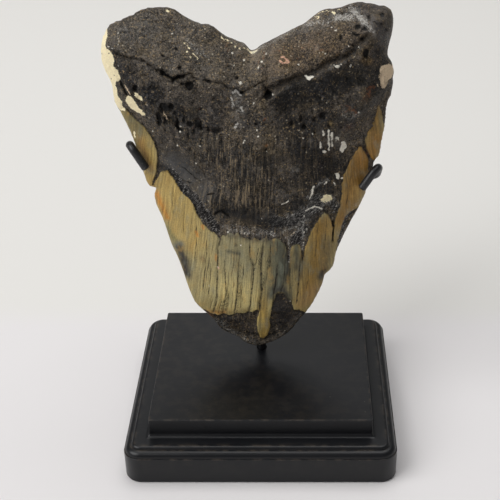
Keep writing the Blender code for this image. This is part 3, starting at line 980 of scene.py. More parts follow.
@dataclass
class BentRod:
    """A round rod of straight runs and bends, closed at both ends."""

    name: str
    corners: Sequence[Vector]
    diameter: float
    bend_radius: float
    chamfer: float = 0.0
    end_share: float = 0.76
    sides: int = 28
    bend_steps: int = 14
    sharp_degrees: float = 30.0

    def grow(self, bm: BMesh, ring: Edges, move: Vector) -> Edges:
        """Extend the rod straight on.

        Args:
            bm: The rod in the making.
            ring: The edges of its open end.
            move: How far the end goes.

        Returns:
            The edges of the new end.
        """
        grown = bmesh.ops.extrude_edge_only(bm, edges=ring)["geom"]
        verts = [part for part in grown if isinstance(part, BMVert)]
        bmesh.ops.translate(bm, verts=verts, vec=move)
        ends = set(verts)
        return [part for part in grown if isinstance(part, BMEdge) and set(part.verts) <= ends]

    def bend(self, bm: BMesh, ring: Edges, corner: Vector, arriving: Vector, leaving: Vector) -> Edges:
        """Swing the rod's end round one corner.

        Args:
            bm: The rod in the making.
            ring: The edges of its open end.
            corner: Where the straight runs would meet.
            arriving: The direction before the bend.
            leaving: The direction after it.

        Returns:
            The edges of the new end.
        """
        turn = arriving.angle(leaving)
        middle = corner + (leaving - arriving).normalized() * self.bend_radius / math.cos(turn / 2)
        swung = bmesh.ops.spin(
            bm,
            geom=ring,
            cent=middle,
            axis=arriving.cross(leaving).normalized(),
            angle=turn,
            steps=self.bend_steps,
            use_merge=False,
        )
        return [part for part in swung["geom_last"] if isinstance(part, BMEdge)]

    def build(self, finish: Material) -> Object:
        """Draw the rod along its corners.

        Args:
            finish: Its paint.

        Returns:
            The finished piece.
        """
        bm = bmesh.new()
        directions = [(b - a).normalized() for a, b in zip(self.corners, self.corners[1:])]
        start = Matrix.Translation(self.corners[0]) @ turned_to(directions[0])
        radius = self.diameter / 2
        bmesh.ops.create_circle(bm, cap_ends=True, segments=self.sides, radius=radius, matrix=start)
        ring = bm.edges[:]
        here = self.corners[0]
        for corner, arriving, leaving in zip(self.corners[1:], directions, directions[1:]):
            back = self.bend_radius * math.tan(arriving.angle(leaving) / 2)
            ring = self.grow(bm, ring, corner - arriving * back - here)
            ring = self.bend(bm, ring, corner, arriving, leaving)
            here = corner + leaving * back
        last = directions[-1]
        ring = self.grow(bm, ring, self.corners[-1] - last * self.chamfer - here)
        if self.chamfer:
            ring = self.grow(bm, ring, last * self.chamfer)
            verts = list({vert for edge in ring for vert in edge.verts})
            to_end = Matrix.Translation(-self.corners[-1])
            bmesh.ops.scale(bm, verts=verts, vec=(self.end_share,) * 3, space=to_end)
        bmesh.ops.holes_fill(bm, edges=ring, sides=0)
        rod = link_piece(self.name, mesh_of(bm, self.name), finish)
        rod.data.shade_smooth()
        rod.data.set_sharp_from_angle(angle=math.radians(self.sharp_degrees))
        places = np.array([vert.co for vert in rod.data.vertices])
        away = np.linalg.norm(places - np.array(self.corners[-1]), axis=1)
        rim = np.where(away < self.diameter, 1.0, 0.0) if self.chamfer else np.zeros(len(places))
        store(rod.data, "rim", rim)
        return rod


@dataclass
class StandRods:
    """The stem and the two hooked arms that are brazed beside its top."""

    stem_diameter: float = 3.6 * MM
    stem_foot: Place = (-0.8 * MM, 10.6 * MM)
    foot_height: float = 10.5 * MM
    bend_height: float = 29.5 * MM
    stem_top: Triple = (-0.8 * MM, 30.5 * MM, 90.0 * MM)
    stem_bend_radius: float = 10.0 * MM
    arm_diameter: float = 3.2 * MM
    arm_bend_radius: float = 2.9 * MM
    arm_stub: float = 7.0 * MM
    braze_below_top: float = 3.0 * MM
    gap: float = 0.3 * MM
    chamfer: float = 0.45 * MM
    left_hook: tuple[Triple, ...] = ((-47.2, 78.0, -5.0), (-48.4, 84.6, 4.3), (-41.7, 73.8, 4.3))
    right_hook: tuple[Triple, ...] = ((44.8, 69.0, -5.0), (45.3, 75.9, 4.3), (38.6, 66.1, 4.3))
    braze_size: Triple = (4.3 * MM, 2.5 * MM, 3.1 * MM)
    braze_subdivisions: int = 5
    braze_lumps: tuple[Place, ...] = ((0.1, 2.3), (0.04, 6.0))

    def braze_place(self) -> Vector:
        """Give the point on the stem's middle where the arms meet it."""
        bend = Vector((*self.stem_foot, self.bend_height))
        top = Vector(self.stem_top)
        return top + (bend - top).normalized() * self.braze_below_top

    def arm(self, name: str, side: int, hook: tuple[Triple, ...], to_world: Matrix) -> BentRod:
        """Lay out one arm.

        Args:
            name: The piece's name.
            side: -1 for the viewer's left, 1 for the right.
            hook: Its corner behind the tooth, its elbow and its cut end, in the tooth's plane.
            to_world: The tooth's lean.

        Returns:
            The arm, ready to be drawn.
        """
        brazed = self.braze_place()
        out = Vector((side, 0, 0))
        corners = [brazed + out * (self.stem_diameter / 2 + self.gap), brazed + out * self.arm_stub]
        corners += [to_world @ (Vector((across, -proud, up)) * MM) for across, up, proud in hook]
        return BentRod(name, corners, self.arm_diameter, self.arm_bend_radius, self.chamfer)

    def braze(self, finish: Material) -> Object:
        """Make the lump of braze that joins both arms to the stem.

        Args:
            finish: The paint over it.

        Returns:
            The finished piece.
        """
        bm = bmesh.new()
        bmesh.ops.create_icosphere(bm, subdivisions=self.braze_subdivisions, radius=1.0)
        for vert in bm.verts:
            vert.co *= 1 + sum(height * noise.noise(vert.co * pace) for height, pace in self.braze_lumps)
        stem = Vector(self.stem_top) - Vector((*self.stem_foot, self.bend_height))
        size = Matrix.Diagonal((*self.braze_size, 1))
        bm.transform(Matrix.Translation(self.braze_place()) @ turned_to(stem) @ size)
        lump = link_piece("braze", mesh_of(bm, "braze"), finish)
        lump.data.shade_smooth()
        store(lump.data, "rim", np.zeros(len(lump.data.vertices)))
        return lump

    def build(self, to_world: Matrix, finish: RodPaint) -> None:
        """Draw the rods and join them.

        Args:
            to_world: The tooth's lean, in which the hooks are laid out.
            finish: Their paint.
        """
        paint = finish.material()
        foot = Vector((*self.stem_foot, self.foot_height))
        bend = Vector((*self.stem_foot, self.bend_height))
        corners = [foot, bend, Vector(self.stem_top)]
        stem = BentRod("painted_stem", corners, self.stem_diameter, self.stem_bend_radius)
        hand_over(stem.build(paint), "rod_paint", "stem")
        for side, hook, node in ((-1, self.left_hook, "left_arm"), (1, self.right_hook, "right_arm")):
            arm = self.arm("painted_" + node, side, hook, to_world)
            hand_over(arm.build(paint), "rod_paint", node)
        hand_over(self.braze(paint), "rod_paint")


class Face(Enum):
    """The tooth's two faces."""

    FRONT = -1
    BACK = 1


@dataclass(frozen=True)
class Stroke:
    """A brush mark along a line, or at one point, in mm on the tooth."""

    line: Line
    width: float
    strength: float = 1.0
    colour: Colour = (0.0, 0.0, 0.0)

    def reach(self, places: np.ndarray) -> np.ndarray:
        """Give how strongly it marks each place, fading softly to its sides."""
        return self.strength * bell(distance_to_line(places, self.line), self.width)


def laid(strokes: Iterable[Stroke], places: np.ndarray) -> np.ndarray:
    """Give how strongly any of several strokes marks each place.

    Args:
        strokes: The strokes.
        places: The places.

    Returns:
        The strongest mark at each place.
    """
    result = np.zeros(len(places))
    for stroke in strokes:
        result = np.maximum(result, stroke.reach(places))
    return result


def painted(ground: Colour, strokes: Iterable[Stroke], places: np.ndarray) -> np.ndarray:
    """Paint strokes over a ground colour.

    Args:
        ground: The colour below them.
        strokes: The strokes, the last one on top.
        places: Where the colour is asked for.

    Returns:
        One row of red, green and blue for each place.
    """
    colours = np.tile(np.array(ground), (len(places), 1))
    for stroke in strokes:
        share = stroke.reach(places)[:, None]
        colours = colours * (1 - share) + np.array(stroke.colour) * share
    return colours


def depth_in(places: np.ndarray, ring: Line) -> np.ndarray:
    """Give how far inside a ring's border each place is; less than 0 is outside."""
    away = distance_to_line(places, (*ring, ring[0]))
    return np.where(inside(places, ring), away, -away)


@dataclass(frozen=True)
class Scar:
    """A pale patch with a crisp border, or a line or dot of the given half width."""

    line: Line
    colour: Colour
    half_width: float = 0.0

    def depth(self, places: np.ndarray) -> np.ndarray:
        """Give how far inside the border each place is; less than 0 is outside."""
        if self.half_width:
            return self.half_width - distance_to_line(places, self.line)
        return depth_in(places, self.line)


@dataclass(frozen=True)
class Pit:
    """An oval hollow, all in mm, with how much painted shade darkens its inside."""

    across: float
    up: float
    half_width: float
    half_height: float
    depth: float = 1.0
    inner_shade: float = 1.0
    steepness: int = 4
    reach: float = 9.0

    def share(self, places: np.ndarray) -> np.ndarray:
        """Give 1 inside the hollow and 0 away from it."""
        out = (places - (self.across, self.up)) / (self.half_width, self.half_height)
        return np.exp(-(np.minimum(np.hypot(*out.T), self.reach) ** self.steepness))


@dataclass(frozen=True)
class Crack:
    """A long crack or a seam: its line, from top to bottom for a crack, and its half width."""

    line: Line
    width: float

    def gap(self, places: np.ndarray) -> np.ndarray:
        """Give how far outside its border each place is; less than 0 is inside."""
        return distance_to_line(places, self.line) - self.width


def marks(*rows: Sequence[float]) -> tuple[Stroke, ...]:
    """Make plain strokes of rows: width and strength, then the places."""
    return tuple(Stroke(pairs(*row[2:]), *row[:2]) for row in rows)


def tints(*rows: Sequence[float]) -> tuple[Stroke, ...]:
    """Make coloured strokes of rows: screen colour, width and strength, then the places."""
    return tuple(Stroke(pairs(*row[5:]), *row[3:5], srgb(*row[:3])) for row in rows)


def cracks(*rows: Sequence[float]) -> tuple[Crack, ...]:
    """Make cracks or seams of rows: half width, then the places."""
    return tuple(Crack(pairs(*row[1:]), row[0]) for row in rows)


def pits(*rows: Sequence[float]) -> tuple[Pit, ...]:
    """Make pits of rows: across, up, half width, half height, then depth and the painted shade inside if
    stated.
    """
    return tuple(Pit(*row) for row in rows)


def scars(colour: Colour, half_width: float, *lines: Line) -> tuple[Scar, ...]:
    """Make scars of one colour: filled rings where the half width is 0, or else lines and dots."""
    return tuple(Scar(line, colour, half_width) for line in lines)


CREAM = srgb(250, 236, 196)
PALE_ORANGE = srgb(230, 184, 112)
BEIGE = srgb(212, 190, 160)
WHITE = srgb(236, 231, 217)
PINK = srgb(206, 162, 136)
SPECK_AND_GLINT_SIZE = 0.35
CREAM_DOT = 0.36


@dataclass(frozen=True)
class FacePaint:
    """Everything that colours one face of the tooth."""

    enamel: tuple[Line, ...]
    enamel_ground: Colour
    root_ground: Colour
    enamel_strokes: tuple[Stroke, ...]
    root_strokes: tuple[Stroke, ...]
    dust: tuple[Stroke, ...]
    rust: tuple[Stroke, ...]
    crust: tuple[Stroke, ...]
    polish: tuple[Stroke, ...]
    fibrous: tuple[Stroke, ...]
    shade: tuple[Stroke, ...]
    pitted: tuple[Stroke, ...]
    sooty: tuple[Stroke, ...]
    seams: tuple[Stroke, ...]
    pits: tuple[Pit, ...]
    scars: tuple[Scar, ...]
    cracks: tuple[Crack, ...]


BLADE = pairs(
    -41.3, 64.4, -37.5, 70.6, -37, 71.9, -36.4, 72.6, -34.9, 73, -34.1, 73.4, -33, 71.9, -31.9, 70.7,
    -31.2, 69.1, -30.7, 67.8, -29.8, 66.5, -27.9, 64.3, -25.6, 62.2, -24.6, 60.9, -24, 59.1,
    -23.5, 57.6, -22.8, 55.8, -20.7, 52.8, -18.4, 50.3, -16.9, 49.8, -15.8, 48.8, -15, 47.6,
    -14.8, 44.4, -14.3, 47.7, -13.9, 48.8, -12.4, 48.4, -11, 49.9, -9.3, 49.4, -8, 50.2, -6.6, 48.4,
    -4.8, 47.9, -3.4, 46.9, -1.6, 48, 0.4, 46.8, 2.4, 47.8, 4.2, 46.9, 6.5, 47.8, 8, 47, 10.1, 44.7,
    10.6, 41.9, 11, 37.7, 11.6, 37.7, 11.8, 42.7, 12.3, 44.2, 13.7, 44.9, 15.2, 44.7, 16, 43.2,
    16.3, 39.9, 16.5, 37.2, 17.1, 39.8, 17.5, 43.1, 19, 48, 21.3, 52.5, 23.5, 55.7, 24.6, 57,
    25.8, 56.6, 26.5, 55.6, 27.3, 54.1, 27.7, 52.4, 28.2, 50.3, 28.3, 46.8, 28.6, 50.2, 28.9, 53.2,
    30, 57.4, 30.7, 59.1, 31, 61.4, 31.2, 64.8, 31.3, 68, 31.6, 71.2, 32.1, 72.6, 33.6, 75.4, 35, 78.2,
    36.1, 80.2, 37.6, 82, 38.4, 82, 40, 79.3, 41.4, 76.3, 41.3, 72.2, 42.9, 66.4, 42.2, 62, 38.5, 58.1,
    35.4, 56.6, 34.4, 56.1, 33.1, 54.5, 32.2, 52.7, 31.6, 50.7, 31.1, 48.6, 30.6, 46.1, 30.2, 43.6,
    29.7, 39.5, 31.5, 37.8, 30.4, 32.1, 25.8, 23.7, 20.4, 14.4, 17.6, 14.7, 17.2, 15.2, 15.8, 15.3,
    15.2, 16, 13.4, 16.2, 12.7, 18.2, 12.2, 20.6, 10.6, 21.8, 9.6, 23.8, 7.9, 24.6, 6.6, 24.2,
    5.6, 21.8, 4.9, 19, 4.3, 16.3, 3.8, 13.4, 3.9, 10.2, 3.5, 7.6, 2.8, 5.2, 1, 3.4, -0.2, 4.6, -1, 7.1,
    -1.3, 10, -1.3, 12.3, -0.8, 14.6, -0.2, 16.9, -1.2, 17.5, -2.8, 16.2, -4.6, 16.6, -6.4, 15.4,
    -9, 15.7, -11.6, 14.4, -14.2, 14.9, -16.6, 13.7, -18.7, 14.3, -20.2, 14.8, -21.8, 16.1, -24.3, 14.4,
    -31.4, 23.7, -38.6, 40.3, -41.8, 54.5,
)
LEFT_WING = pairs(
    -49.2, 96.6, -47, 94.1, -45.6, 92.6, -42.7, 90.2, -40.5, 87.6, -38.6, 83.9, -37.4, 80.4,
    -37.3, 78.5, -37.9, 74.9, -38.1, 73, -38.8, 70.9, -39.7, 68.9, -40.5, 65.2, -43.9, 66, -48.3, 76.1,
    -52.2, 87.6, -52.5, 94.4,
)
RIGHT_WING = pairs(
    44.1, 97.7, 43.7, 94.6, 42.8, 92.3, 43, 91.4, 41.9, 90.7, 42.5, 89.7, 40.8, 87.8, 39.9, 85.7,
    39.6, 84.6, 40.1, 81.9, 40.3, 80.6, 41.9, 77.6, 42.7, 76.4, 43.9, 76.1, 46, 77.5, 47, 80.6,
    48, 84.4, 49, 88, 48.3, 89.5, 46.7, 90.2, 46.1, 91.4, 46.2, 92.7, 45.3, 95.9, 44.7, 97.4,
)
LABIAL_ENAMEL = pairs(
    -60, 100, -49, 99.2, -45, 96.6, -42, 96.6, -37, 94, -33, 94.4, -28.6, 91.6, -25, 92.6, -20, 91.6,
    -14, 94.6, -9, 94, -3, 96.8, 2.6, 95, 8, 95.6, 12, 92.4, 18, 91.6, 23, 93.6, 28, 93.4, 33, 96.8,
    38, 96.2, 44, 99.8, 50, 101, 60, 98, 60, 20, 21, 15, 13, 17, 5, 14.6, -4, 15.8, -12, 13.8,
    -22, 15.6, -60, 20,
)
LABIAL_TOP = pairs(-54, 101, -42, 96, -25, 92, -3, 96, 18, 92, 38, 97, 50, 101)
CREASE_LEFT = pairs(
    -50.9, 117.5, -48.4, 116.2, -45.5, 115.4, -43.4, 115.4, -40.8, 114.6, -39, 114.3, -37.5, 112.8,
    -35.7, 111.7, -34, 111.2, -31.8, 109.5, -29.7, 108.2, -28.3, 109.1, -25.8, 109.6, -23.6, 110.5,
    -22.3, 109,
)
CREASE_MIDDLE = pairs(
    -22.3, 109, -20.1, 108.4, -16.9, 107.8, -13.3, 107.3, -11.9, 106.9, -9.8, 105.3, -7.3, 105.1,
    -4.9, 103.9, -2.3, 105.4, 2, 107.4, 4.1, 103.8,
)
CREASE_RIGHT = pairs(
    4.1, 103.8, 5.5, 105.4, 8.4, 106.8, 11.2, 107.8, 14.1, 109, 16.6, 109.2, 19.8, 110.7, 21.9, 111.7,
    24.4, 113.4, 28.3, 115.5, 33.3, 116.4, 34.7, 117.7, 36, 119.9, 37.4, 121.7, 39.2, 122.9,
)
CREASE = CREASE_LEFT + CREASE_MIDDLE + CREASE_RIGHT
CREASE_RIDGE = pairs(
    6.6, 102.4, 8.4, 104.1, 10.9, 105.3, 14.8, 107, 16.6, 107.7, 22.6, 110.8, 26.5, 112.7, 31.5, 114.5,
    33.2, 115.9, 35, 117.6, 38.1, 120.9, 39.6, 121.8,
)
CRUST_STRIP = pairs(
    -32.6, 72.1, -30.8, 69.6, -28.6, 67.2, -26.4, 64.6, -24.2, 62.6, -22.3, 59.6, -20.6, 56.8,
    -17.9, 53.9, -16.1, 51.4,
)
WORN_STRIP = pairs(38, 60, 35.6, 57.4, 34, 55.4, 32.5, 53.1, 31.6, 50.2, 30.9, 47.4, 30.2, 43.5)
FAN = lines_of(
    (6.5, 54.1, 11.8, 56.3, 16.7, 57.6, 21.2, 59.3), (9.1, 49.9, 13.7, 52.1, 17.8, 54.4),
    (9.9, 47.6, 14.1, 49.8, 17.1, 52), (17.1, 56.5, 16.7, 51.2, 16.9, 45.2, 16.5, 41.5),
    (11.4, 47.6, 11.6, 42.7, 11.4, 38), (17.8, 63.2, 20, 66.2, 22.3, 68.6, 26, 70),
    (20.1, 56.7, 22.3, 58.9, 25.4, 60.2, 28.4, 61.7),
)
CREAM_RINGS = lines_of(
    (-55.1, 125.4, -53.5, 124.8, -53.6, 123.1, -54, 121.1, -54.5, 119.8, -54.2, 118.8, -52.9, 118.1,
    -52.3, 117.6, -51.7, 116.6, -51.2, 115.4, -50.9, 114.2, -51.5, 112.7, -50.6, 111.7, -49.9, 111,
    -49.5, 109.2, -48.9, 107.8, -49.3, 107.2, -51, 106.6, -51.4, 104.8, -50.9, 104.1, -51, 102.1,
    -51.3, 100.4, -54.4, 99.9, -55.7, 104.4, -58.2, 110.6, -58, 118.9, -56.7, 123.6),
    (-46.6, 102, -45.5, 101.6, -44.8, 100.7, -43.8, 99.2, -42.9, 97.2, -41.7, 96.8, -41.6, 95.7,
    -40.6, 95.1, -41.6, 94.1, -43.3, 94.8, -44.9, 95.5, -46.8, 96.3, -47.7, 98.1, -48.2, 100.1),
    (-44, 103.3, -42.7, 102.7, -41.7, 101.9, -40.7, 100.8, -41.6, 100.3, -42.9, 100.9, -43.9, 102.3),
    (-53.7, 100.7, -51, 100.9, -49.4, 98.2, -49.9, 96.9, -48.4, 95.9, -48.9, 94.9, -50.9, 95.2,
    -52.4, 97.3),
    (-46.4, 87.3, -45.6, 87.2, -45.6, 85.2, -46.3, 84.3),
    (19.5, 129.3, 21.6, 130.7, 22.2, 130.3, 19.8, 128.6, 19.2, 128.6),
    (20.9, 128.8, 22.3, 129.6, 22.5, 128.6, 21.4, 128.3),
    (23, 130.9, 23.6, 131.6, 24.8, 131.7, 25.6, 130.9, 25, 131, 24.1, 131.2, 23.5, 130.6),
    (26.8, 131.3, 27.5, 130.9, 28.4, 130.8, 28.2, 129.9, 27.4, 130, 26.9, 130.7),
    (29, 132.3, 30.2, 132.3, 30.2, 131.6, 29.1, 131.6),
    (-32.8, 131.6, -31, 131.5, -31.1, 130.5, -32.4, 130.6),
    (-3.6, 118.1, -2.2, 117.4, -0.8, 117.6, 0.2, 117.9, -0.5, 116.8, -1.9, 116.2, -3.2, 117),
    (22.8, 62.3, 23.8, 63, 24.2, 63.9, 25.3, 64.5, 26.1, 63.9, 27.3, 64, 27.7, 62.5, 27.5, 61.7,
    26.5, 61.8, 27, 60.7, 26.2, 61.4, 25.2, 60.7, 24, 61.1, 23.5, 61.7),
)
BEIGE_RINGS = lines_of(
    (44.4, 112.4, 45.7, 112.6, 48.1, 112.8, 49.2, 111.7, 49.6, 109.6, 49.2, 107.9, 47.6, 107.1,
    46.9, 104.9, 46.2, 103.9, 45, 104.3, 44.3, 105.7, 44.5, 107.1, 43.8, 108.6, 44.2, 110.3),
    (43, 106.4, 43.6, 106, 44, 104.8, 43.4, 105.1),
)
WHITE_RINGS = lines_of(
    (16.9, 109.6, 17.5, 110.1, 18.4, 109.4, 19.1, 109.6, 20.4, 110, 20.1, 109.2, 19.6, 108.8,
    19.2, 108.2, 18.5, 108.1, 17.8, 108.7),
    (27.2, 113.7, 28.3, 113.5, 29.2, 113.5, 30.2, 114.4, 30.1, 113.2, 29.2, 112.4, 28.1, 112.5),
    (33.2, 113.5, 33.7, 113.4, 33.8, 112.4, 33.3, 112.3),
    (-6.4, 107.7, -5.2, 107.6, -5, 106.8, -6.2, 106.7),
    (30.8, 84.7, 31.7, 85, 32.5, 83.8, 33, 82.3, 32.8, 81.6, 31.8, 81.3, 31.7, 80.6, 31.1, 79.9,
    30.4, 80.5, 30, 81.6, 30.7, 82.6),
    (28.6, 84.7, 28.5, 86.8, 29.1, 87.4, 29.8, 86.3, 30, 84.8, 29.5, 85.5, 29.1, 86.3, 28.9, 85.1),
    (23.8, 81.8, 24.9, 82, 25.4, 81.2, 24.7, 80.5, 23.9, 81),
    (28.6, 72.4, 29.9, 72.5, 30.2, 71.3, 29.9, 70, 29.1, 70.5),
    (30.6, 70.3, 31.5, 71, 31.7, 70.4, 31.1, 69.7), (28, 69, 28.5, 69.1, 29.2, 67.7, 28.7, 67.7),
)
PALE_LINES = (
    (PINK, 0.3, 8.9, 115.7, 9.6, 115.9, 10.7, 115.1, 11.5, 114.5, 11.1, 113.9, 9.8, 113.9, 8.2, 114.4),
    (PALE_ORANGE, 0.9, -55.6, 113.4, -55, 111.6), (WHITE, 0.34, 25.9, 90, 26, 86.2, 26.2, 81.9),
    (WHITE, 0.34, 24, 89.7, 24.1, 87.7), (WHITE, 0.36, 27.1, 88.8, 27.4, 83.2),
    (WHITE, 0.34, 22.9, 85, 23.1, 83),
    (WHITE, 0.32, 20.8, 67.6, 20.4, 66.6, 20.2, 65.1, 19.4, 63.7, 19.2, 62.7),
    (WHITE, 0.34, 17.8, 58.2, 19, 58.6, 21.2, 59.6, 22.3, 59, 23.7, 58.4),
    (WHITE, 0.2, 8.8, 60.9, 10, 61.5, 11.3, 62.5), (WHITE, 0.2, 24.7, 68.3, 25.4, 69.3),
    (BEIGE, 0.24, 12.2, 49, 13.5, 49.6), (BEIGE, 0.22, -47.9, 106, -46.8, 104.3, -45.8, 102.5),
    (BEIGE, 0.2, -34.3, 97.6, -33.7, 96.3, -32.9, 95.2, -32.6, 93.8),
    (PINK, 0.24, -15.5, 35.6, -15.6, 34.8),
)
CREAM_DOTS = pairs(
    -12.6, 121.9, -11.6, 121.2, -10.4, 120.9, -9.2, 120, -7.6, 119, -6.2, 118.2, -4.6, 118.2,
    -3.4, 117.7, -0.2, 117.3, 5, 121.4, 7.4, 122.9, 9.2, 123.7, 12.6, 125.2, 13.8, 125.8, 15.2, 126.4,
    17, 127.2, -24.6, 119.6, -23.9, 118.8, -24.8, 117.6, -22.6, 117, -21.6, 116.4, -23.3, 116,
    -21, 115.4, -25.6, 120.4,
)
# White dots: pale specks, and painted glints of light on the dark root.
WHITE_SPECKS_AND_GLINTS = pairs(
    17.1, 55.9, 16.7, 52.4, 18.2, 50.6, 17.1, 49.7, 4.8, 50.2, -11.6, 49.8, -5.3, 49.4, 16.9, 45.2,
    16.5, 42.4, 11.4, 40.6, 11.4, 37.7, 1.3, 55.6, 29.4, 59.1, -8.8, 116.9, -4.6, 114.4, -8, 112.9,
    1.9, 114.1, 0.7, 112.2, 3.3, 116.5, 14.8, 113.4, 32.7, 119.6, 36.4, 119.4, 26.7, 126, 28.1, 125.2,
    24.4, 117.2, -20.9, 84.3, -29.5, 83.5, -22.7, 77, -38.7, 88, 16.7, 87.3, 18.3, 89.8, 20.1, 88.6,
    -49.6, 123.5, -52.9, 119.2, -51.3, 118.5, -50.5, 125.6, -46.2, 128.8, -42, 129.5, -30.1, 123.7,
    -49.6, 112.5, -27.4, 91.3, -27.9, 89.5, -4.5, 86.6, -4.9, 85.7, 0, 90.4, 0.4, 87.9, -0.9, 100,
    3.4, 82.1, -16, 35.5, -19.6, 27.3, -6.8, 44.9, -6.4, 4.2, -9.8, 4.7, 32.1, 94.7, 34.5, 94.8,
    36.8, 96.2, 11.9, 20.4, 5.6, 103.1,
)
# Pits: across, up, half width, half height, depth, and the painted shade inside where given.
FRONT_PITS = pits(
    (-23.9, 106.1, 1.45, 1.6, 1.7), (-30.8, 98.4, 0.95, 1.35, 1.5), (-32.9, 98, 2.1, 2, 1, 0.75),
    (-35.5, 93.4, 0.85, 2.8, 1.3), (-29.4, 96.2, 0.6, 0.95, 0.7, 0.8), (-28.6, 92.2, 0.75, 2.1, 1.2),
    (-27.7, 90.4, 1.15, 0.6, 0.6, 0.8), (-24.5, 92.3, 1.15, 0.95, 1.1),
    (-21.2, 92.1, 1.45, 2.3, 0.8, 0.6), (-20.2, 91.8, 0.5, 1.9, 1), (-24.8, 88.6, 0.65, 1.5, 0.6, 0.7),
    (-20.4, 86.5, 0.6, 0.6, 0.5, 0.9), (-12.8, 86, 0.5, 1.5, 0.5, 0.7),
    (-15.1, 89.9, 2.3, 1.15, 0.7, 0.6), (-43.7, 104.7, 1.1, 1.25, 1.4), (-5.1, 103.9, 0.95, 0.85, 1.1),
    (-7, 108.7, 0.95, 0.8, 0.7, 0.8), (-17.1, 107.6, 0.8, 0.5, 0.8), (4, 102.7, 1.5, 1.6, 1.6),
    (-28.6, 118.6, 0.6, 0.8, 0.6, 0.9), (-33.2, 116.3, 0.7, 0.5, 0.5, 0.9),
    (-33.1, 110.5, 0.9, 0.95, 1), (-31.8, 109.5, 0.7, 0.6, 0.7), (-27.5, 112.1, 0.95, 0.4, 0.7),
    (-30, 107.8, 0.7, 0.6, 0.6), (-26.9, 109.1, 1.3, 0.6, 0.8), (38.95, 117.3, 1.2, 1.9, 1.4),
    (15.9, 94.8, 0.75, 1.7, 0.8, 0.7), (17, 91.4, 0.85, 1.1, 1), (23.8, 95.2, 1.15, 1.9, 0.8, 0.7),
    (35.7, 123.6, 0.75, 0.6, 0.8), (30.1, 122.4, 0.6, 0.95, 0.6, 0.8),
    (34.3, 119.9, 0.75, 0.6, 0.6, 0.8), (36, 126.2, 1.15, 0.75, 0.7, 0.8),
    (38.5, 125.7, 0.95, 0.75, 0.7, 0.8), (37.7, 122.4, 0.75, 0.75, 0.7, 0.8),
    (40.6, 131.2, 0.45, 0.45, 0.4, 0.8), (41.8, 130.6, 0.6, 0.35, 0.4, 0.8),
    (44.8, 130.1, 0.85, 0.85, 0.9), (44.2, 127.2, 0.6, 0.5, 0.5, 0.9),
    (46.8, 127.5, 0.5, 0.7, 0.5, 0.8), (46.1, 125.3, 0.95, 0.6, 0.6, 0.8),
    (40, 129.5, 0.75, 0.6, 0.5, 0.8), (-24.9, 108.2, 3.4, 2.3, 0.35, 0.25),
    (-34.4, 96.4, 0.8, 1, 0.9, 0.9), (-33.2, 92.8, 0.9, 1.4, 0.9, 0.85),
    (-31.6, 94.6, 0.7, 0.8, 0.7, 0.8), (-26.2, 93.6, 0.7, 1.1, 0.8, 0.85),
    (-22.8, 89.6, 0.7, 1.2, 0.7, 0.8), (-17.6, 90.4, 0.7, 1.3, 0.7, 0.75),
    (-26.4, 106.6, 0.9, 0.7, 0.8, 0.85), (-22, 107.6, 0.8, 0.7, 0.7, 0.8),
    (12.6, 93, 0.8, 1.5, 0.7, 0.7), (20.6, 94, 0.7, 1.4, 0.7, 0.75), (26, 91.6, 0.9, 1.2, 0.7, 0.7),
)
FRONT_CRACKS = cracks(
    (0.1, -23.3, 53.5, -23.7, 49.4, -23.8, 45.3, -24.4, 41, -24.9, 36.7),
    (0.12, -19.7, 47.3, -19.9, 42.3, -20.3, 37.2, -21, 32.9, -21.6, 28.5, -22.1, 25),
    (0.1, -18.5, 37.4, -18.9, 31.8, -19.3, 27.5, -20.2, 22.6),
    (0.2, -14.9, 46.8, -15.6, 42.6, -15.7, 39.3, -16, 35.1, -16.4, 29.1, -16.6, 24.8, -16.5, 22,
    -17.6, 18.1, -18.5, 14.2),
    (0.12, -18.2, 22.4, -19, 19, -19.9, 15.2), (0.12, -14.5, 22.2, -15.4, 18.4, -16.5, 14.5),
    (0.14, -13.2, 39.5, -13.1, 34.5, -13.1, 29.4, -12.8, 25, -13.8, 19.9, -14.9, 14.7),
    (0.12, -11.6, 26, -12.4, 21, -13.4, 15.7),
    (0.22, -7, 42.2, -7.7, 38, -8, 33.8, -8.2, 28.7, -8.6, 24.7, -9.3, 20.1, -9.9, 15.4),
    (0.1, -5.7, 38.1, -6.3, 30.5, -7.1, 22.6, -7.8, 16.7),
    (0.2, -3.5, 47.9, -3.4, 43, -3.1, 38.1, -2, 36.4, -2.2, 32.2, -2.8, 27, -3.4, 22.2, -4.3, 16.1),
    (0.12, 0.1, 46.4, -0.4, 42.2, -1, 38.1, -1.6, 34.7),
    (0.34, 1.9, 46.4, 1.3, 42.1, 0.8, 38, 0.7, 33, 0.8, 28.8, 0.9, 25.3, 0.1, 21.4, -0.1, 16.9),
    (0.12, 3.2, 40.5, 3.1, 36.4, 2.9, 32.2, 2.5, 28.8), (0.14, 4.6, 46.1, 4.3, 40.5, 4.1, 35.5),
    (0.2, 7.2, 37.9, 6.8, 32.9, 6, 27.8, 5.4, 23, 4.8, 18.9),
    (0.12, 10.3, 42, 10, 36.9, 9.6, 31.9, 9, 27.6, 8.2, 25),
    (0.12, 11.8, 37.6, 11.7, 32.6, 11.8, 27.4, 12.1, 22.5),
    (0.2, 15.8, 39, 15.4, 33.9, 15.1, 28.8, 14.7, 24, 14.2, 19.1),
    (0.08, 19, 37, 18.7, 30.9, 18.1, 24.9), (0.08, 22.4, 53.4, 22.1, 46, 21.3, 38.5),
    (0.08, 25.8, 55.6, 25.5, 49, 25, 41.4), (0.08, 35, 73.3, 34, 65.5, 33, 59),
    (0.08, -27.7, 59.6, -28.4, 53.8, -29, 48), (0.08, -31.7, 67.9, -32.3, 61.6, -32.6, 55.8),
)

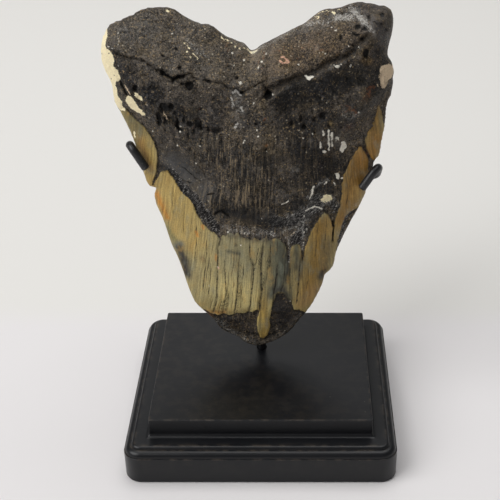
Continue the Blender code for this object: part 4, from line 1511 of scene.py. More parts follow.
FRONT_PAINT = FacePaint(
    enamel=(BLADE, LEFT_WING, RIGHT_WING),
    enamel_ground=srgb(162, 146, 96),
    root_ground=srgb(100, 92, 82),
    enamel_strokes=tints(
        (144, 138, 106, 11, 0.8, -9, 46, -9, 28), (176, 150, 88, 7, 0.9, -33, 68, -30, 56, -27, 46),
        (158, 144, 100, 6, 0.7, -26, 36, -22, 24), (198, 180, 120, 7.5, 0.85, -12, 25, 3, 20),
        (90, 90, 72, 4.4, 0.9, 6, 46, 7, 34, 6, 28),
        (66, 68, 56, 2, 0.9, 8.4, 45.2, 8.7, 39.5, 8.3, 33.6, 7.5, 28.6),
        (62, 62, 50, 1.5, 0.9, 14.1, 44.2, 14.4, 39.2, 14.1, 34.9),
        (44, 46, 40, 1.6, 0.94, 11, 40.9, 10.9, 36.9, 10.6, 30),
        (46, 46, 40, 1.2, 0.9, 16.8, 40.8, 16.4, 36.4, 15.6, 31),
        # The deep ochre strokes on the crown's right side and right wing are partly its colour and partly
        # painted shade of the side turned away from the key light.
        (132, 102, 40, 4.6, 0.95, 23, 52, 22, 38, 19, 26), (104, 88, 54, 2.6, 0.8, 27, 44, 25, 36),
        (156, 122, 72, 3.4, 0.8, 21, 24, 17, 19), (130, 96, 38, 6.5, 0.95, 36, 76, 35, 66, 32, 54),
        (142, 98, 36, 3, 0.6, 38.5, 80, 39.5, 70), (116, 88, 38, 4.6, 0.95, 43, 98, 42.5, 88),
        (138, 98, 38, 3.2, 0.9, 44, 84, 42, 77), (104, 94, 62, 6, 0.95, -47, 97, -44, 88),
        (164, 138, 78, 4.4, 0.95, -43, 82, -40.5, 68), (150, 112, 76, 1.6, 0.5, -44, 84, -41, 74),
        (190, 130, 52, 1.3, 0.9, -38.6, 63.2, -37.5, 60.6, -36.5, 57.8, -35.1, 54.2),
        (108, 104, 66, 1.6, 0.7, -35, 49.6, -33.5, 46.1, -31.6, 43.9),
        (104, 110, 104, 1.4, 0.8, -32.1, 42.5, -30.1, 43.7),
        (50, 49, 47, 1.9, 0.97, -31, 41.8, -29.9, 39.4, -28.8, 36.5, -28.2, 33.6, -28.1, 30.6),
        (40, 30, 24, 0.9, 0.8, -30.4, 37, -29.2, 33.6, -28.8, 30.6),
        (44, 36, 30, 1.3, 0.95, 25.3, 33.1, 24.1, 31.4, 23.8, 29.7),
        (192, 138, 66, 0.9, 0.8, -20.2, 15.2, -17.5, 14.9, -14.2, 15.6),
        (146, 122, 66, 2.8, 0.9, 1.3, 21, 1.2, 8.8, 0.9, 4.1),
        (186, 156, 84, 0.8, 0.85, 1, 16.4, 0.9, 12.8, 0.7, 9.9),
        (146, 136, 112, 0.5, 0.7, 2.7, 13.6, 2.4, 8.9),
        (70, 70, 62, 0.8, 0.75, -11.8, 42.3, -9.5, 42.1, -7.6, 41.5),
        (60, 56, 46, 0.6, 0.8, -8.8, 45.2),
        (84, 76, 62, 1.1, 0.75, -11.6, 48.9, -7, 48.4, -2.5, 47, 4.5, 47),
        (46, 46, 44, 2.2, 0.93, 4.6, 24, 6.6, 26.6, 9.4, 25.6, 11, 21.6),
        (96, 76, 44, 0.8, 0.5, -19, 15.6, -12, 15.6, -4, 17.6), (96, 74, 44, 1.25, 0.7, -21.6, 38.3),
        (160, 138, 92, 0.6, 0.8, -21.6, 38.3), (204, 132, 46, 0.45, 0.8, -23.7, 49.4, -23.3, 47.8),
        (204, 132, 46, 0.4, 0.7, -21.2, 52.4, -21, 50.9),
        (204, 132, 46, 0.4, 0.65, -16.4, 40.4, -16.5, 38.3),
    ),
    root_strokes=tints(
        (102, 93, 80, 9, 0.7, -45, 122, -30, 122, -14, 113, 0, 109),
        (102, 88, 72, 8, 0.7, 8, 112, 20, 118, 34, 124), (104, 82, 54, 4, 0.4, 12, 116, 28, 119),
        (78, 80, 82, 5, 0.4, -46, 122, -38, 124), (70, 66, 62, 7.5, 0.85, -44, 105, -34, 96, -20, 92),
        (52, 55, 62, 2.6, 0.8, -40.5, 103.2, -38.4, 100.7, -37.4, 104.4),
        (84, 76, 68, 7, 0.5, -18, 99, -4, 97), (24, 22, 22, 5.5, 0.94, 10, 101, 22, 105, 34, 110),
        (38, 32, 28, 5, 0.75, 44, 119, 43, 104), (40, 35, 31, 5.5, 0.8, 10, 92, 24, 91, 36, 95),
        (95, 80, 80, 1.6, 0.7, 32.5, 90, 33.9, 90.8),
        (140, 112, 66, 1.2, 0.7, 38.2, 114.6, 40.4, 114.4),
        (150, 128, 84, 0.8, 0.7, 26.7, 93.4, 26.5, 91.9), (150, 112, 50, 0.8, 0.8, 3, 84.5),
        (112, 78, 44, 0.6, 0.8, 3, 94.1), (112, 78, 44, 0.6, 0.8, 33.4, 90.5),
        (112, 78, 44, 0.6, 0.8, 33.5, 97.2), (68, 64, 58, 8, 0.7, -26, 80, -12, 77, 0, 76),
        (58, 54, 50, 6, 0.6, -12, 66, 0, 64), (78, 77, 75, 4.6, 0.95, -32, 77, -27, 72, -20, 66),
        (24, 23, 25, 8.5, 0.95, 18, 84, 24, 74, 20, 62),
        (24, 23, 26, 3, 0.95, -11.4, 58, -5, 57.1, 1.3, 54.2, 6.1, 51.6, 9.9, 54),
        (30, 29, 31, 1.8, 0.8, -3.1, 61, 1.4, 60.9, 6.2, 58), (82, 79, 76, 2, 0.9, -13.8, 55.4),
        (84, 80, 76, 1.8, 0.8, 3.2, 57.2),
        (82, 72, 64, 1.3, 0.9, -9.7, 51.5, -7, 51.2, -3.3, 49.7, 1.2, 48.6, 4.6, 49.1),
        (62, 66, 74, 1.6, 0.8, 21.8, 79.4), (78, 68, 70, 1.6, 0.8, 22.9, 75.3),
        (92, 90, 86, 1, 0.7, 12.6, 74.4, 15.2, 75.1), (36, 35, 36, 6, 0.96, -14, 11, -6, 9),
        (70, 56, 42, 2, 0.6, -11, 10, -4, 8), (40, 35, 33, 6, 0.97, 6, 20, 10, 12),
        (112, 70, 44, 0.8, 0.8, -22, 14.6, -19, 13.6), (72, 66, 62, 6, 0.9, 41, 130, 46, 125),
        (34, 33, 35, 2.5, 0.7, -52, 118, -46, 108, -44, 100),
    ),
    dust=(
        # Dust, and a painted highlight along the crease's ridge, where it catches light.
        Stroke(CREASE_RIDGE, 0.7, 0.34),
        Stroke(WORN_STRIP, 0.9, 0.5),
        *(Stroke(line, 0.7, 0.62) for line in FAN),
        *marks(
            (1.7, 0.6, 16.6, 126.2, 19.1, 126.8, 22, 127.3, 25.5, 127.6, 28.4, 128.8),
            (1.9, 0.75, 28.4, 128.8, 31.5, 129.3, 34, 129.4), (1.5, 0.7, 33.4, 132.6, 35.1, 131),
            (1.7, 0.8, 35.1, 131, 36.8, 129.3, 38.5, 127.6), (1.4, 0.62, 38.5, 127.6, 41.4, 124.6),
            (1.2, 0.36, 40.9, 124.4, 43.5, 122.4),
            (1.1, 0.62, -11.2, 123.2, -8.7, 121.4, -5.9, 120, -3.3, 118.6, -1.5, 117.3),
            (1.1, 0.7, -2, 116.9, 0.3, 117.9, 2.2, 118.8),
            (1.2, 0.5, 3.2, 119.7, 6.5, 121, 12, 124, 16, 126.2),
            (1.3, 0.5, -24.4, 121.9, -22.3, 119.3, -21.3, 117.9, -19.4, 117.2, -17.9, 115.7),
            (1.1, 0.45, -29.8, 114.3, -30.3, 112.4, -30.5, 110.9),
            (0.8, 0.5, -15, 8.6, -9, 4.4, -3, 1.6), (1.5, 0.6, -11.7, 51.2, -3.3, 49.6, 5.6, 49.2),
            # A painted highlight along the upper left lobe's top edge.
            (2.4, 0.3, -49.6, 121.5, -47.6, 125, -43.7, 126.5, -40.6, 127.3),
            (0.7, 1, -8.6, 103.9, -7.2, 104.6, -5.4, 103), (0.6, 0.85, -8.8, 102, -8.6, 98.4),
            (0.6, 0.9, -5.4, 98.4, -4.9, 97.4), (0.6, 0.95, -7, 92.6, -7.6, 91.2),
            (2.2, 0.45, -7.5, 104, -6.4, 99, -7, 92), (3.5, 0.3, 20, 86, 31, 87),
            (1.6, 0.45, 31, 95.8, 34.3, 94.5, 36.9, 95.8), (1.2, 0.4, 21.5, 119.2, 21.4, 116.4),
            (1, 0.4, 12.6, 74.4, 15.2, 75.1), (4, 0.36, 14, 54, 22, 62),
        ),
    ),
    rust=marks(
        (1.6, 0.7, 41.4, 104.9, 39.9, 102.8, 38.2, 100.7), (1.6, 0.6, 31.7, 98, 33.5, 96.8, 36.5, 96.3),
        (1, 0.8, 3, 84.5), (0.9, 0.7, 3, 94.1), (5, 0.3, 2, 115, 12, 117, 22.6, 118.7),
        (3.5, 0.3, -12, 120.5, -8.5, 116), (1.4, 0.25, -18.7, 97.1, -29, 98),
        (0.8, 0.7, 37.9, 82.5, 40.5, 78.6), (2.2, 0.3, -27, 92, -15, 90),
    ),
    crust=(
        Stroke(CRUST_STRIP, 2.2, 1.0),
        Stroke(WORN_STRIP, 1.1, 0.8),
        *marks(
            (3.2, 0.8, 6.5, 54.1, 11.8, 54, 17.4, 56.7, 23, 60.2), (2.6, 0.9, 17, 51, 14, 46.4),
            (2.4, 0.7, 20, 63, 27, 62, 29, 58), (1.5, 0.42, -18, 12, -10, 6, -2, 2.5),
            (1, 0.5, -16.1, 51.4, -10, 52.6, 2, 50.6),
        ),
    ),
    polish=marks(
        (4.6, 1, -33, 78, -27, 72, -20, 66), (4, 0.5, -14, 10, -4, 10), (5, 0.8, 6, 20, 10, 12),
        (5, 0.8, 42, 129, 46, 125), (2.4, 0.5, -11, 57, 8, 54),
    ),
    fibrous=marks(
        (7.5, 1, -16, 80, 0, 78, 0, 62, -14, 62), (9, 1, -8, 72, -4, 66),
        (7, 0.55, 10, 84, 22, 82, 20, 68), (6, 0.9, -20, 44, -18, 24), (9, 1, -8, 48, -8, 20),
        (7, 0.9, 6, 46, 14, 30), (5, 0.6, 34, 74, 26, 48, 20, 26), (5, 0.5, -32, 66, -26, 48),
        (2, 0.8, 1.5, 18, 1, 6),
    ),
    shade=(
        Stroke(CREASE_RIGHT[1:], 1.4, 0.75),
        Stroke(CREASE_MIDDLE, 0.7, 0.5),
        Stroke(CREASE_LEFT, 0.8, 0.5),
        *marks(
            (4.6, 0.48, 11, 100.5, 22, 105, 33, 110.5), (4, 0.3, 40, 112, 44, 104, 40, 97),
            (5, 0.3, 16, 92, 30, 90), (7, 0.32, 20, 80, 24, 68, 20, 62),
            (2.3, 0.85, -14, 58.6, -5, 57.2, 1.3, 54.6, 8, 53.4),
            (3.6, 0.22, -38, 103, -30, 95, -20, 90), (1.4, 0.8, 12.6, 107, 17.6, 108.6),
            (1.3, 0.55, 22.4, 56.5, 20.1, 52.6, 18.2, 48.8), (2.3, 0.7, 43.3, 117.1),
            (2.2, 0.7, 29.1, 104.2, 32.3, 106), (3, 0.3, -24.9, 108.2),
            (0.7, 0.5, 41.4, 77.9, 40.2, 81), (1.3, 0.9, -36.6, 74.6, -34.6, 74),
        ),
    ),
    pitted=marks(
        (5, 1, -38, 104, -33, 96, -24, 91, -16, 90), (3.2, 0.8, -44, 112, -30, 109, -22, 106),
        (6, 0.8, 12, 100, 24, 103, 34, 108), (4, 0.9, 14, 94, 24, 94),
        (4, 0.8, 40, 118, 44, 110, 44, 102), (3.5, 0.7, 34, 124, 40, 128, 46, 127),
        (2.5, 0.6, -4, 103, 4, 100), (4, 0.5, -16, 10, -4, 5, 8, 10),
    ),
    sooty=marks(
        (8, 0.72, -46, 110, -40, 104, -26, 97, -8, 97), (9, 1, 12, 101, 26, 104, 38, 108),
        (10, 0.7, -30, 84, -10, 78, 10, 78, 26, 76), (7, 0.9, 8, 64, 20, 62, 26, 70),
        (4, 0.8, -14, 60, 4, 58), (2.5, 0.6, -50, 112, -30, 111), (5, 0.5, 40, 122, 46, 128),
        (6, 0.7, -14, 9, 0, 5, 10, 14),
    ),
    # Seams: dark lines along the crease and the root's fine cracks, partly painted shade in the crease.
    seams=(
        Crack(CREASE_LEFT, 0.06),
        Crack(CREASE_LEFT[8:13], 0.42),
        Crack(CREASE_MIDDLE, 0.04),
        *cracks(
            (0.02, -29.4, 75.5, -26.8, 74.1, -24.6, 72.1, -23.1, 70.5, -21.3, 69.7),
            (0.02, -31.4, 72.7, -29.2, 70.4, -27, 69.1, -24.7, 68.7),
            (0.2, -18.8, 64.3, -17.6, 64.8, -16.5, 64.8), (0.02, -22.7, 77, -20.3, 74.3, -19.3, 71),
            (0.35, -16.4, 56.7, -15.2, 57.7, -13.7, 58.2, -12.2, 57.5, -11.1, 55.9),
            (0.35, -49.3, 107, -48.5, 105.2, -47.7, 103.4, -46.8, 101.6),
            (0.25, 27.9, 52.8, 28.3, 50.3, 28.2, 47.7, 28, 44.7),
        ),
    ),
    pits=FRONT_PITS,
    scars=(
        *scars(CREAM, 0, *CREAM_RINGS),
        *scars(BEIGE, 0, *BEIGE_RINGS),
        *scars(WHITE, 0, *WHITE_RINGS),
        *(Scar(pairs(*row), colour, half) for colour, half, *row in PALE_LINES),
        *scars(WHITE, SPECK_AND_GLINT_SIZE, *((place,) for place in WHITE_SPECKS_AND_GLINTS)),
        *scars(CREAM, CREAM_DOT, *((place,) for place in CREAM_DOTS)),
    ),
    cracks=FRONT_CRACKS,
)

BACK_PAINT = FacePaint(
    enamel=(LABIAL_ENAMEL,),
    enamel_ground=srgb(152, 137, 92),
    root_ground=srgb(86, 76, 66),
    enamel_strokes=tints(
        (138, 134, 104, 16, 0.7, -6, 88, -4, 50), (106, 106, 86, 6, 0.75, 8, 90, 6, 60, 10, 40),
        (96, 96, 82, 5, 0.6, -20, 86, -24, 66), (150, 116, 58, 6, 0.8, 34, 84, 30, 60),
        (160, 134, 74, 5, 0.8, -38, 84, -34, 56), (166, 142, 84, 9, 0.6, -8, 30, 4, 16),
        (84, 82, 70, 4, 0.6, 14, 76), (50, 49, 47, 2.1, 0.97, -31.6, 41.5, -29.2, 38, -28.8, 34.5),
        (56, 40, 32, 1.5, 0.95, 24.8, 33.3), (204, 132, 46, 1, 0.7, -18, 70, -17, 64),
        (204, 132, 46, 1.4, 0.6, 20, 56), (74, 64, 50, 2.4, 0.7, 0, 93, 20, 90, 40, 94),
        (74, 64, 50, 2.4, 0.7, -46, 95, -24, 90, 0, 93),
    ),
    root_strokes=tints(
        (98, 88, 76, 8, 0.7, -44, 118, -20, 112), (92, 80, 66, 8, 0.7, 10, 108, 38, 122),
        (52, 46, 42, 4, 0.7, -30, 101, 30, 101), (50, 46, 45, 6, 0.9, -14, 11, -6, 9),
        (42, 36, 33, 6, 0.95, 6, 14, 12, 10),
    ),
    dust=marks(
        (3, 0.4, -40, 110, -30, 116), (2.5, 0.55, 22, 124, 36, 126), (2.5, 0.35, -8, 108, 4, 106),
        (1.8, 0.35, -44, 99, -20, 95, 0, 98, 24, 95, 42, 99),
    ),
    rust=marks((5, 0.35, -20, 118, -6, 112), (4, 0.45, 30, 108, 40, 112), (3, 0.5, 10, 101)),
    crust=marks(
        (2.2, 0.9, -50, 102, -42, 98, -25, 94, -3, 98, 18, 94, 38, 99, 48, 102),
        (1.4, 0.8, -18, 14, -4, 14, 12, 15),
    ),
    polish=marks((6, 0.8, -8, 9, 8, 9)),
    fibrous=marks((11, 0.8, -16, 86, -8, 24), (11, 0.8, 16, 86, 8, 24), (5, 0.5, 34, 84, 26, 48)),
    shade=marks((1.8, 0.5, -46, 103, -24, 96, -3, 100, 18, 96, 42, 102)),
    pitted=marks((5, 0.8, -40, 104, -10, 100, 20, 100, 40, 104), (6, 0.6, -30, 116), (6, 0.7, 34, 114)),
    sooty=marks((7, 0.7, -44, 104, 0, 102, 44, 104), (6, 0.6, -8, 9, 8, 9)),
    # Seams: dark lines along the root's creases, partly painted shade in them.
    seams=cracks((0.25, -30, 112, -22, 109, -18, 105, -10, 106), (0.2, 12, 118, 20, 114, 24, 108)),
    pits=pits(
        (-34, 112, 1.2, 1.5, 1.2), (-14, 116, 1, 0.8, 0.8), (6, 110, 1.4, 1, 1),
        (22, 120, 0.9, 1.3, 0.9), (36, 109, 1.5, 1.1, 1.1),
    ),
    scars=(
        Scar(pairs(-56, 122, -57.4, 112, -55.4, 104, -52.6, 106, -53.4, 116, -54, 121), CREAM),
        Scar(pairs(47, 112.8, 49.8, 112.6, 49.9, 108.3, 48.2, 105, 46.9, 107), BEIGE),
        Scar(pairs(12, 114, 12.9, 115.2, 14.1, 114.6, 15.4, 115, 15, 113.4, 13.2, 112.9), WHITE),
        Scar(pairs(-26, 104, -23.4, 105, -22.4, 103.2, -24.8, 102.4), WHITE),
        Scar(pairs(-30.6, 75.4, -29.9, 76.6, -28.9, 76.2, -27.7, 76.6, -28.1, 74.9, -29.4, 74.3), CREAM),
    ),
    cracks=cracks(
        (0.14, -24, 86, -28, 52), (0.16, -15, 90, -18, 30), (0.12, -11, 70, -13, 22),
        (0.24, -6, 92, -6.5, 44), (0.18, -1, 62, -1, 18), (0.28, 6, 91, 4.4, 56, 3, 20),
        (0.12, 12, 66, 9, 26), (0.18, 20, 88, 16, 40), (0.12, 28, 84, 24, 48), (0.14, 35, 92, 33, 66),
    ),
)


class Ground(NamedTuple):
    """Where a face's points lie: their places, frayed places, and distances from the outline."""

    places: np.ndarray
    frayed: np.ndarray
    edge: np.ndarray


@dataclass(frozen=True)
class FaceForm:
    """One face's plain thickness in mm: the root's, its losses, and the crown's along its middle."""

    root: float
    side_loss: float
    crease_slope: float
    crown: Sequence[float]


@dataclass
class FossilTooth:
    """The tooth, spread over its outline like a cushion with one thickness on each face."""

    tip: Triple = (-0.9 * MM, 5.0 * MM, 27.0 * MM)
    lean_degrees: float = 12.0
    centre: Place = (-3.0, 76.0)
    outline_samples: int = 6
    outline_growth: float = 1.005
    outline: Line = pairs(
        -2, 116.8, 3, 119.5, 9.5, 122.8, 17.5, 126.8, 23, 131, 29, 131.9, 36, 133.9, 42.5, 132.9,
        46.2, 132.4, 48.4, 130.4, 48.9, 127, 48, 121, 47, 115.6, 48.6, 112.8, 49.4, 109, 49, 102,
        47.3, 96.5, 46.9, 90, 45.8, 83, 44.9, 78, 43.2, 75.6, 42.6, 72, 40.4, 64, 38.9, 60, 36.3, 55,
        33.5, 49.3, 31.3, 44.4, 29.4, 39.4, 28.5, 34.5, 26.9, 32.2, 25, 30.2, 24.2, 26.5, 20.9, 19.4,
        18.8, 16, 14.3, 10.2, 11.8, 7, 8.6, 4.3, 4.5, 2.1, -1, 0.4, -4, 0.9, -6.6, 2.2, -8.7, 4.2,
        -12.6, 6, -15.7, 7.8, -18.5, 11.8, -22, 15.2, -25.8, 19.6, -28.3, 26.5, -31, 36, -33.8, 43,
        -36.5, 52.4, -38.9, 58.8, -39.6, 62.6, -38.9, 65.4, -41.4, 66.3, -43.3, 71.2, -46.1, 83.2,
        -50, 93, -52.5, 98.2, -53.3, 105, -55.9, 111.4, -56.6, 116, -55.8, 120.5, -54, 124.4,
        -51.4, 126.6, -44.5, 129.6, -39.3, 131.8, -31, 131.9, -25.8, 128.8, -20.8, 126.5, -17, 126,
        -11, 121.8, -4.8, 119.3,
    )
    root_swell: Line = pairs(-54, 103, -40, 94, -25, 81, -3, 70, 20, 80, 38, 93, 50, 104)
    inner: FaceForm = FaceForm(12.6, 4.6, 0.42, (2.2, 3.6, 6.2, 8.2, 9.4))
    outer: FaceForm = FaceForm(10.4, 3.2, 0.0, (1.8, 2.8, 4.4, 5.6, 6.6))
    root_half_width: float = 50.0
    root_edge_round: float = 11.0
    crown_heights: Sequence[float] = (0.0, 10.0, 30.0, 60.0, 90.0)
    crown_reach: Sequence[float] = (9.0, 17.0, 24.0, 34.0, 42.0)
    cutting_edge: float = 0.8
    cutting_edge_round: float = 1.6
    swell_half_span: Place = (12.0, 5.0)
    labial_swell_span: Place = (-10.0, 8.0)
    relief_fade: Place = (0.3, 2.5)
    ledge_span: Place = (-0.4, 0.5)
    enamel_step: float = 0.9
    crack_depth: float = 0.3
    crack_half_width: float = 0.4
    seam_depth: float = 0.6
    seam_fade: Place = (-0.3, 0.2)
    rough_layers: tuple[Place, ...] = ((0.9, 13.0), (0.4, 4.5))
    enamel_roughness: float = 0.15
    face_layer: float = 40.0
    leather_layers: tuple[Place, ...] = ((0.7, 2.5), (0.5, 1.25))
    leather_level: float = 0.2
    fray_layers: tuple[Place, ...] = ((0.5, 2.1), (0.3, 0.9))
    fray_offset: float = 50.0
    creases: tuple[tuple[Line, float, float], ...] = (
        (CREASE_LEFT, 0.8, 0.6), (CREASE_MIDDLE, 0.45, 0.7),
        (CREASE_RIGHT, 1.9, 1.3), (CREASE_RIDGE, -0.5, 0.9),
    )
    knob: Stroke = Stroke(pairs(41, 130, 46, 126), 5.0)
    knob_height: float = 0.9
    knob_spacing: float = 3.1
    bumps: tuple[Stroke, ...] = marks((1.9, 1, -13.8, 55.4), (1.6, 1, 3.2, 57.2))
    bump_height: float = 0.6
    polish_loss: float = 0.85
    crust_level: float = -0.3
    crust_height: float = 0.75
    crust_spacing: float = 1.5
    full_crack_width: float = 0.3
    crack_top_fade: Place = (-0.6, 3.0)
    crack_foot_fade: Place = (-0.6, 1.2)
    crack_side_fade: Place = (1.0, 0.6)
    crack_fray: float = 0.3
    far: float = 9.0
    border_span: Place = (-3.0, 3.0)
    ledge_shadow: float = 0.3
    ledge_middle: float = -0.4
    ledge_width: float = 0.45
    fibre_across: Sequence[float] = (-30.0, -19.0, -8.0, 0.0, 14.0, 34.0)
    fibre_slant: Sequence[float] = (0.17, 0.145, 0.08, 0.075, 0.0, -0.12)
    fibre_middle: float = 45.0
    fibre_wobble: float = 0.35
    fibre_wobble_stretch: Place = (0.35, 1.0)
    fibre_wobble_spacing: float = 5.0
    pores: int = 80
    pore_seed: int = 11
    pore_across: Place = (-50.0, 48.0)
    pore_rise: Place = (-2.0, 34.0)
    pore_radius: Place = (0.35, 0.85)
    pore_depth: Place = (0.3, 0.8)
    pore_reach: float = 3.0
    pore_shade: float = 0.9
    outline_fray: float = 0.42
    outline_fray_spacing: float = 2.0
    outline_fray_power: int = 6
    crown_fray: float = 0.35
    root_fray_height: float = 98.0
    subdivisions: int = 7
    finer_in_front: float = -0.08
    rim_share: float = 0.7
    on_the_rim: float = 1e-6

    def to_world(self) -> Matrix:
        """Give the tooth's lean and its place over the stem's foot."""
        turn = Euler((-math.radians(self.lean_degrees), 0, 0)).to_matrix().to_4x4()
        return Matrix.Translation(self.tip) @ turn

    def smooth_outline(self) -> np.ndarray:
        """Draw a smooth closed curve through the outline's points.

        Returns:
            One row of across and up for each sample.
        """
        corners = np.array(self.outline)
        steps = np.arange(self.outline_samples)[:, None] / self.outline_samples
        before, after, beyond = (np.roll(corners, shift, axis=0) for shift in (1, -1, -2))
        pieces = []
        for a, b, c, d in zip(before, corners, after, beyond):
            linear = (c - a) * steps
            square = (2 * a - 5 * b + 4 * c - d) * steps**2
            cube = (3 * b - a - 3 * c + d) * steps**3
            pieces.append(b + (linear + square + cube) / 2)
        return self.centre + (np.concatenate(pieces) - self.centre) * self.outline_growth

    def lumps(self, places: np.ndarray, face: Face, spacing: float) -> np.ndarray:
        """Give smooth noise between -1 and 1 that differs on the two faces."""
        layer = self.face_layer * face.value
        return np.array([noise.noise(Vector((*place, layer))) for place in places / spacing])

    def crown_rise(self, places: np.ndarray) -> np.ndarray:
        """Give 0 on the crown and 1 on the root, with the inner face's soft swelling between them."""
        across, up = places.T
        half_span = np.interp(np.abs(across), (0, self.root_half_width), self.swell_half_span)
        return smooth_step((up - line_height(across, self.root_swell)) / half_span, -1, 1)

    @staticmethod
    def edge_round(edge: np.ndarray, width: float) -> np.ndarray:
        """Rise from the outline as a quarter ellipse over the given width."""
        return np.sqrt(1 - (1 - np.clip(edge / width, 0, 1)) ** 2)

    def crown(self, ground: Ground, middle: Sequence[float]) -> np.ndarray:
        """Give the crown's thickness on one face.

        Args:
            ground: The face's points.
            middle: Its thickness along the middle at the crown heights.

        Returns:
            The thickness in mm.
        """
        up = ground.places[:, 1]
        reach = np.interp(up, self.crown_heights, self.crown_reach)
        lens = 1 - (1 - np.clip(ground.edge / reach, 0, 1)) ** 2
        blade = self.cutting_edge * self.edge_round(ground.edge, self.cutting_edge_round)
        return blade + np.interp(up, self.crown_heights, middle) * lens

    def fray(self, places: np.ndarray, face: Face) -> np.ndarray:
        """Shift places a little to and fro, so that what is drawn there gets ragged borders.

        Args:
            places: The places.
            face: The tooth's face.

        Returns:
            The shifted places.
        """
        frayed = places.copy()
        for height, spacing in self.fray_layers:
            frayed[:, 0] += height * self.lumps(places, face, spacing)
            frayed[:, 1] += height * self.lumps(places + self.fray_offset, face, spacing)
        return frayed

    def pore_relief(self, places: np.ndarray, face: Face) -> np.ndarray:
        """Scatter the many small pores of the root.

        Args:
            places: The places.
            face: The tooth's face.

        Returns:
            How deep they are at each place, in mm.
        """
        chance = np.random.RandomState(self.pore_seed + face.value)
        depth = np.zeros(len(places))
        for _ in range(self.pores):
            across = chance.uniform(*self.pore_across)
            up = line_height(across, self.root_swell) + chance.uniform(*self.pore_rise)
            radius = chance.uniform(*self.pore_radius)
            away = np.hypot(*(places - (across, up)).T)
            near = away < self.pore_reach * radius
            depth[near] += chance.uniform(*self.pore_depth) * bell(away[near], radius)
        return depth

    def roughness(self, places: np.ndarray, face: Face) -> np.ndarray:
        """Give the broad lumps and the grit of bare, stony parts, in mm."""
        return sum(height * self.lumps(places, face, spacing) for height, spacing in self.rough_layers)

    def leathery(self, places: np.ndarray, face: Face) -> np.ndarray:
        """Give the small rounded lumps with creases between them of bare, stony parts, in mm."""
        return sum(
            height * (np.abs(self.lumps(places, face, spacing)) - self.leather_level)
            for height, spacing in self.leather_layers
        )

    def thickness(self, ground: Ground, looks: Looks, face: Face) -> np.ndarray:
        """Give one face's thickness with all its relief.

        Args:
            ground: The face's points.
            looks: The values that colour them, which the finest relief follows.
            face: Which face it is.

        Returns:
            The thickness on this side of the tooth's plane, in mm.
        """
        across, up = ground.places.T
        form = self.inner if face is Face.FRONT else self.outer
        above_crease = np.maximum(up - line_height(across, CREASE), 0)
        root = form.root - form.side_loss * (across / self.root_half_width) ** 2
        root = (root - form.crease_slope * above_crease) * self.edge_round(ground.edge, self.root_edge_round)
        if face is Face.FRONT:
            share = self.crown_rise(ground.places)
        else:
            share = smooth_step(up - line_height(across, LABIAL_TOP), *self.labial_swell_span)
        relief = self.relief(ground, looks, face, share)
        if face is Face.FRONT:
            relief += self.carving(ground)
        crown = self.crown(ground, form.crown)
        return crown + (root - crown) * share + relief * smooth_step(ground.edge, *self.relief_fade)

    def carving(self, ground: Ground) -> np.ndarray:
        """Give the relief of the inner face alone: the crease, a knobbly corner and two bumps.

        Args:
            ground: The face's points.

        Returns:
            The relief in mm.
        """
        places, frayed, _ = ground
        knobs = self.knob.reach(places) * self.lumps(places, Face.FRONT, self.knob_spacing)
        relief = self.knob_height * knobs
        for line, depth, width in self.creases:
            relief -= depth * bell(distance_to_line(frayed, line), width)
        for bump in self.bumps:
            relief += self.bump_height * bump.reach(places)
        return relief

    def relief(self, ground: Ground, looks: Looks, face: Face, share: np.ndarray) -> np.ndarray:
        """Give the relief that both faces have in the same way.

        Args:
            ground: The face's points.
            looks: The values that colour them.
            face: Which face it is.
            share: 1 on the root, 0 on the crown.

        Returns:
            The relief in mm.
        """
        places = ground.places
        bare = smooth_step(-looks["enamel_edge"], *self.ledge_span)
        stony = bare * (1 - self.polish_loss * looks["polish"])
        relief = self.roughness(places, face) * np.maximum(bare, self.enamel_roughness)
        relief -= self.enamel_step * bare * (1 - share)
        relief += (self.leathery(places, face) - self.pore_relief(ground.frayed, face)) * stony
        relief -= looks["pit_depth"]
        relief -= self.seam_depth * smooth_step(-looks["seam"], *self.seam_fade)
        clumps = self.lumps(places, face, self.crust_spacing) - self.crust_level
        relief += self.crust_height * looks["crust"] * clumps * bare
        opened = bell(looks["crack_side"], self.crack_half_width) * looks["crack_share"]
        return relief - self.crack_depth * opened * (1 - bare)

    def grain(self, places: np.ndarray, face: Face) -> np.ndarray:
        """Follow the enamel's fibres.

        Args:
            places: Where the fibres are asked for.
            face: The tooth's face.

        Returns:
            For each place, its fibre's place across, how far up it is, and the face's layer.
        """
        across, up = places.T
        slant = np.interp(across, self.fibre_across, self.fibre_slant)
        wobble = self.lumps(places * self.fibre_wobble_stretch, face, self.fibre_wobble_spacing)
        fibre = across - slant * (up - self.fibre_middle) + self.fibre_wobble * wobble
        return np.column_stack([fibre, up, np.full(len(up), self.face_layer * face.value)])

    def crack_looks(self, places: np.ndarray, cracks: Sequence[Crack]) -> Looks:
        """Find each place's nearest long crack.

        The distance has another sign on each side, so that a crack stays a thin line where
        the mesh is coarser than it, and the width is 0 away from it.

        Args:
            places: The places.
            cracks: The cracks.

        Returns:
            The distance with its side, the crack's width, and its share of its full depth.
        """
        across, up = places.T
        side = np.full(len(up), self.far)
        width, share = np.zeros((2, len(up)))
        for crack in cracks:
            line = np.array(crack.line)[::-1]
            gap = across - np.interp(up, line[:, 1], line[:, 0])
            reach = smooth_step(line[-1, 1] - up, *self.crack_top_fade)
            reach *= smooth_step(up - line[0, 1], *self.crack_foot_fade)
            near = (np.abs(gap) < np.abs(side)) & (reach > 0)
            side[near] = gap[near]
            width[near] = crack.width * reach[near]
            share[near] = reach[near] * min(crack.width / self.full_crack_width, 1)
        width *= smooth_step(np.abs(side), *self.crack_side_fade)
        return {"crack_side": side, "crack_width": width, "crack_share": share}

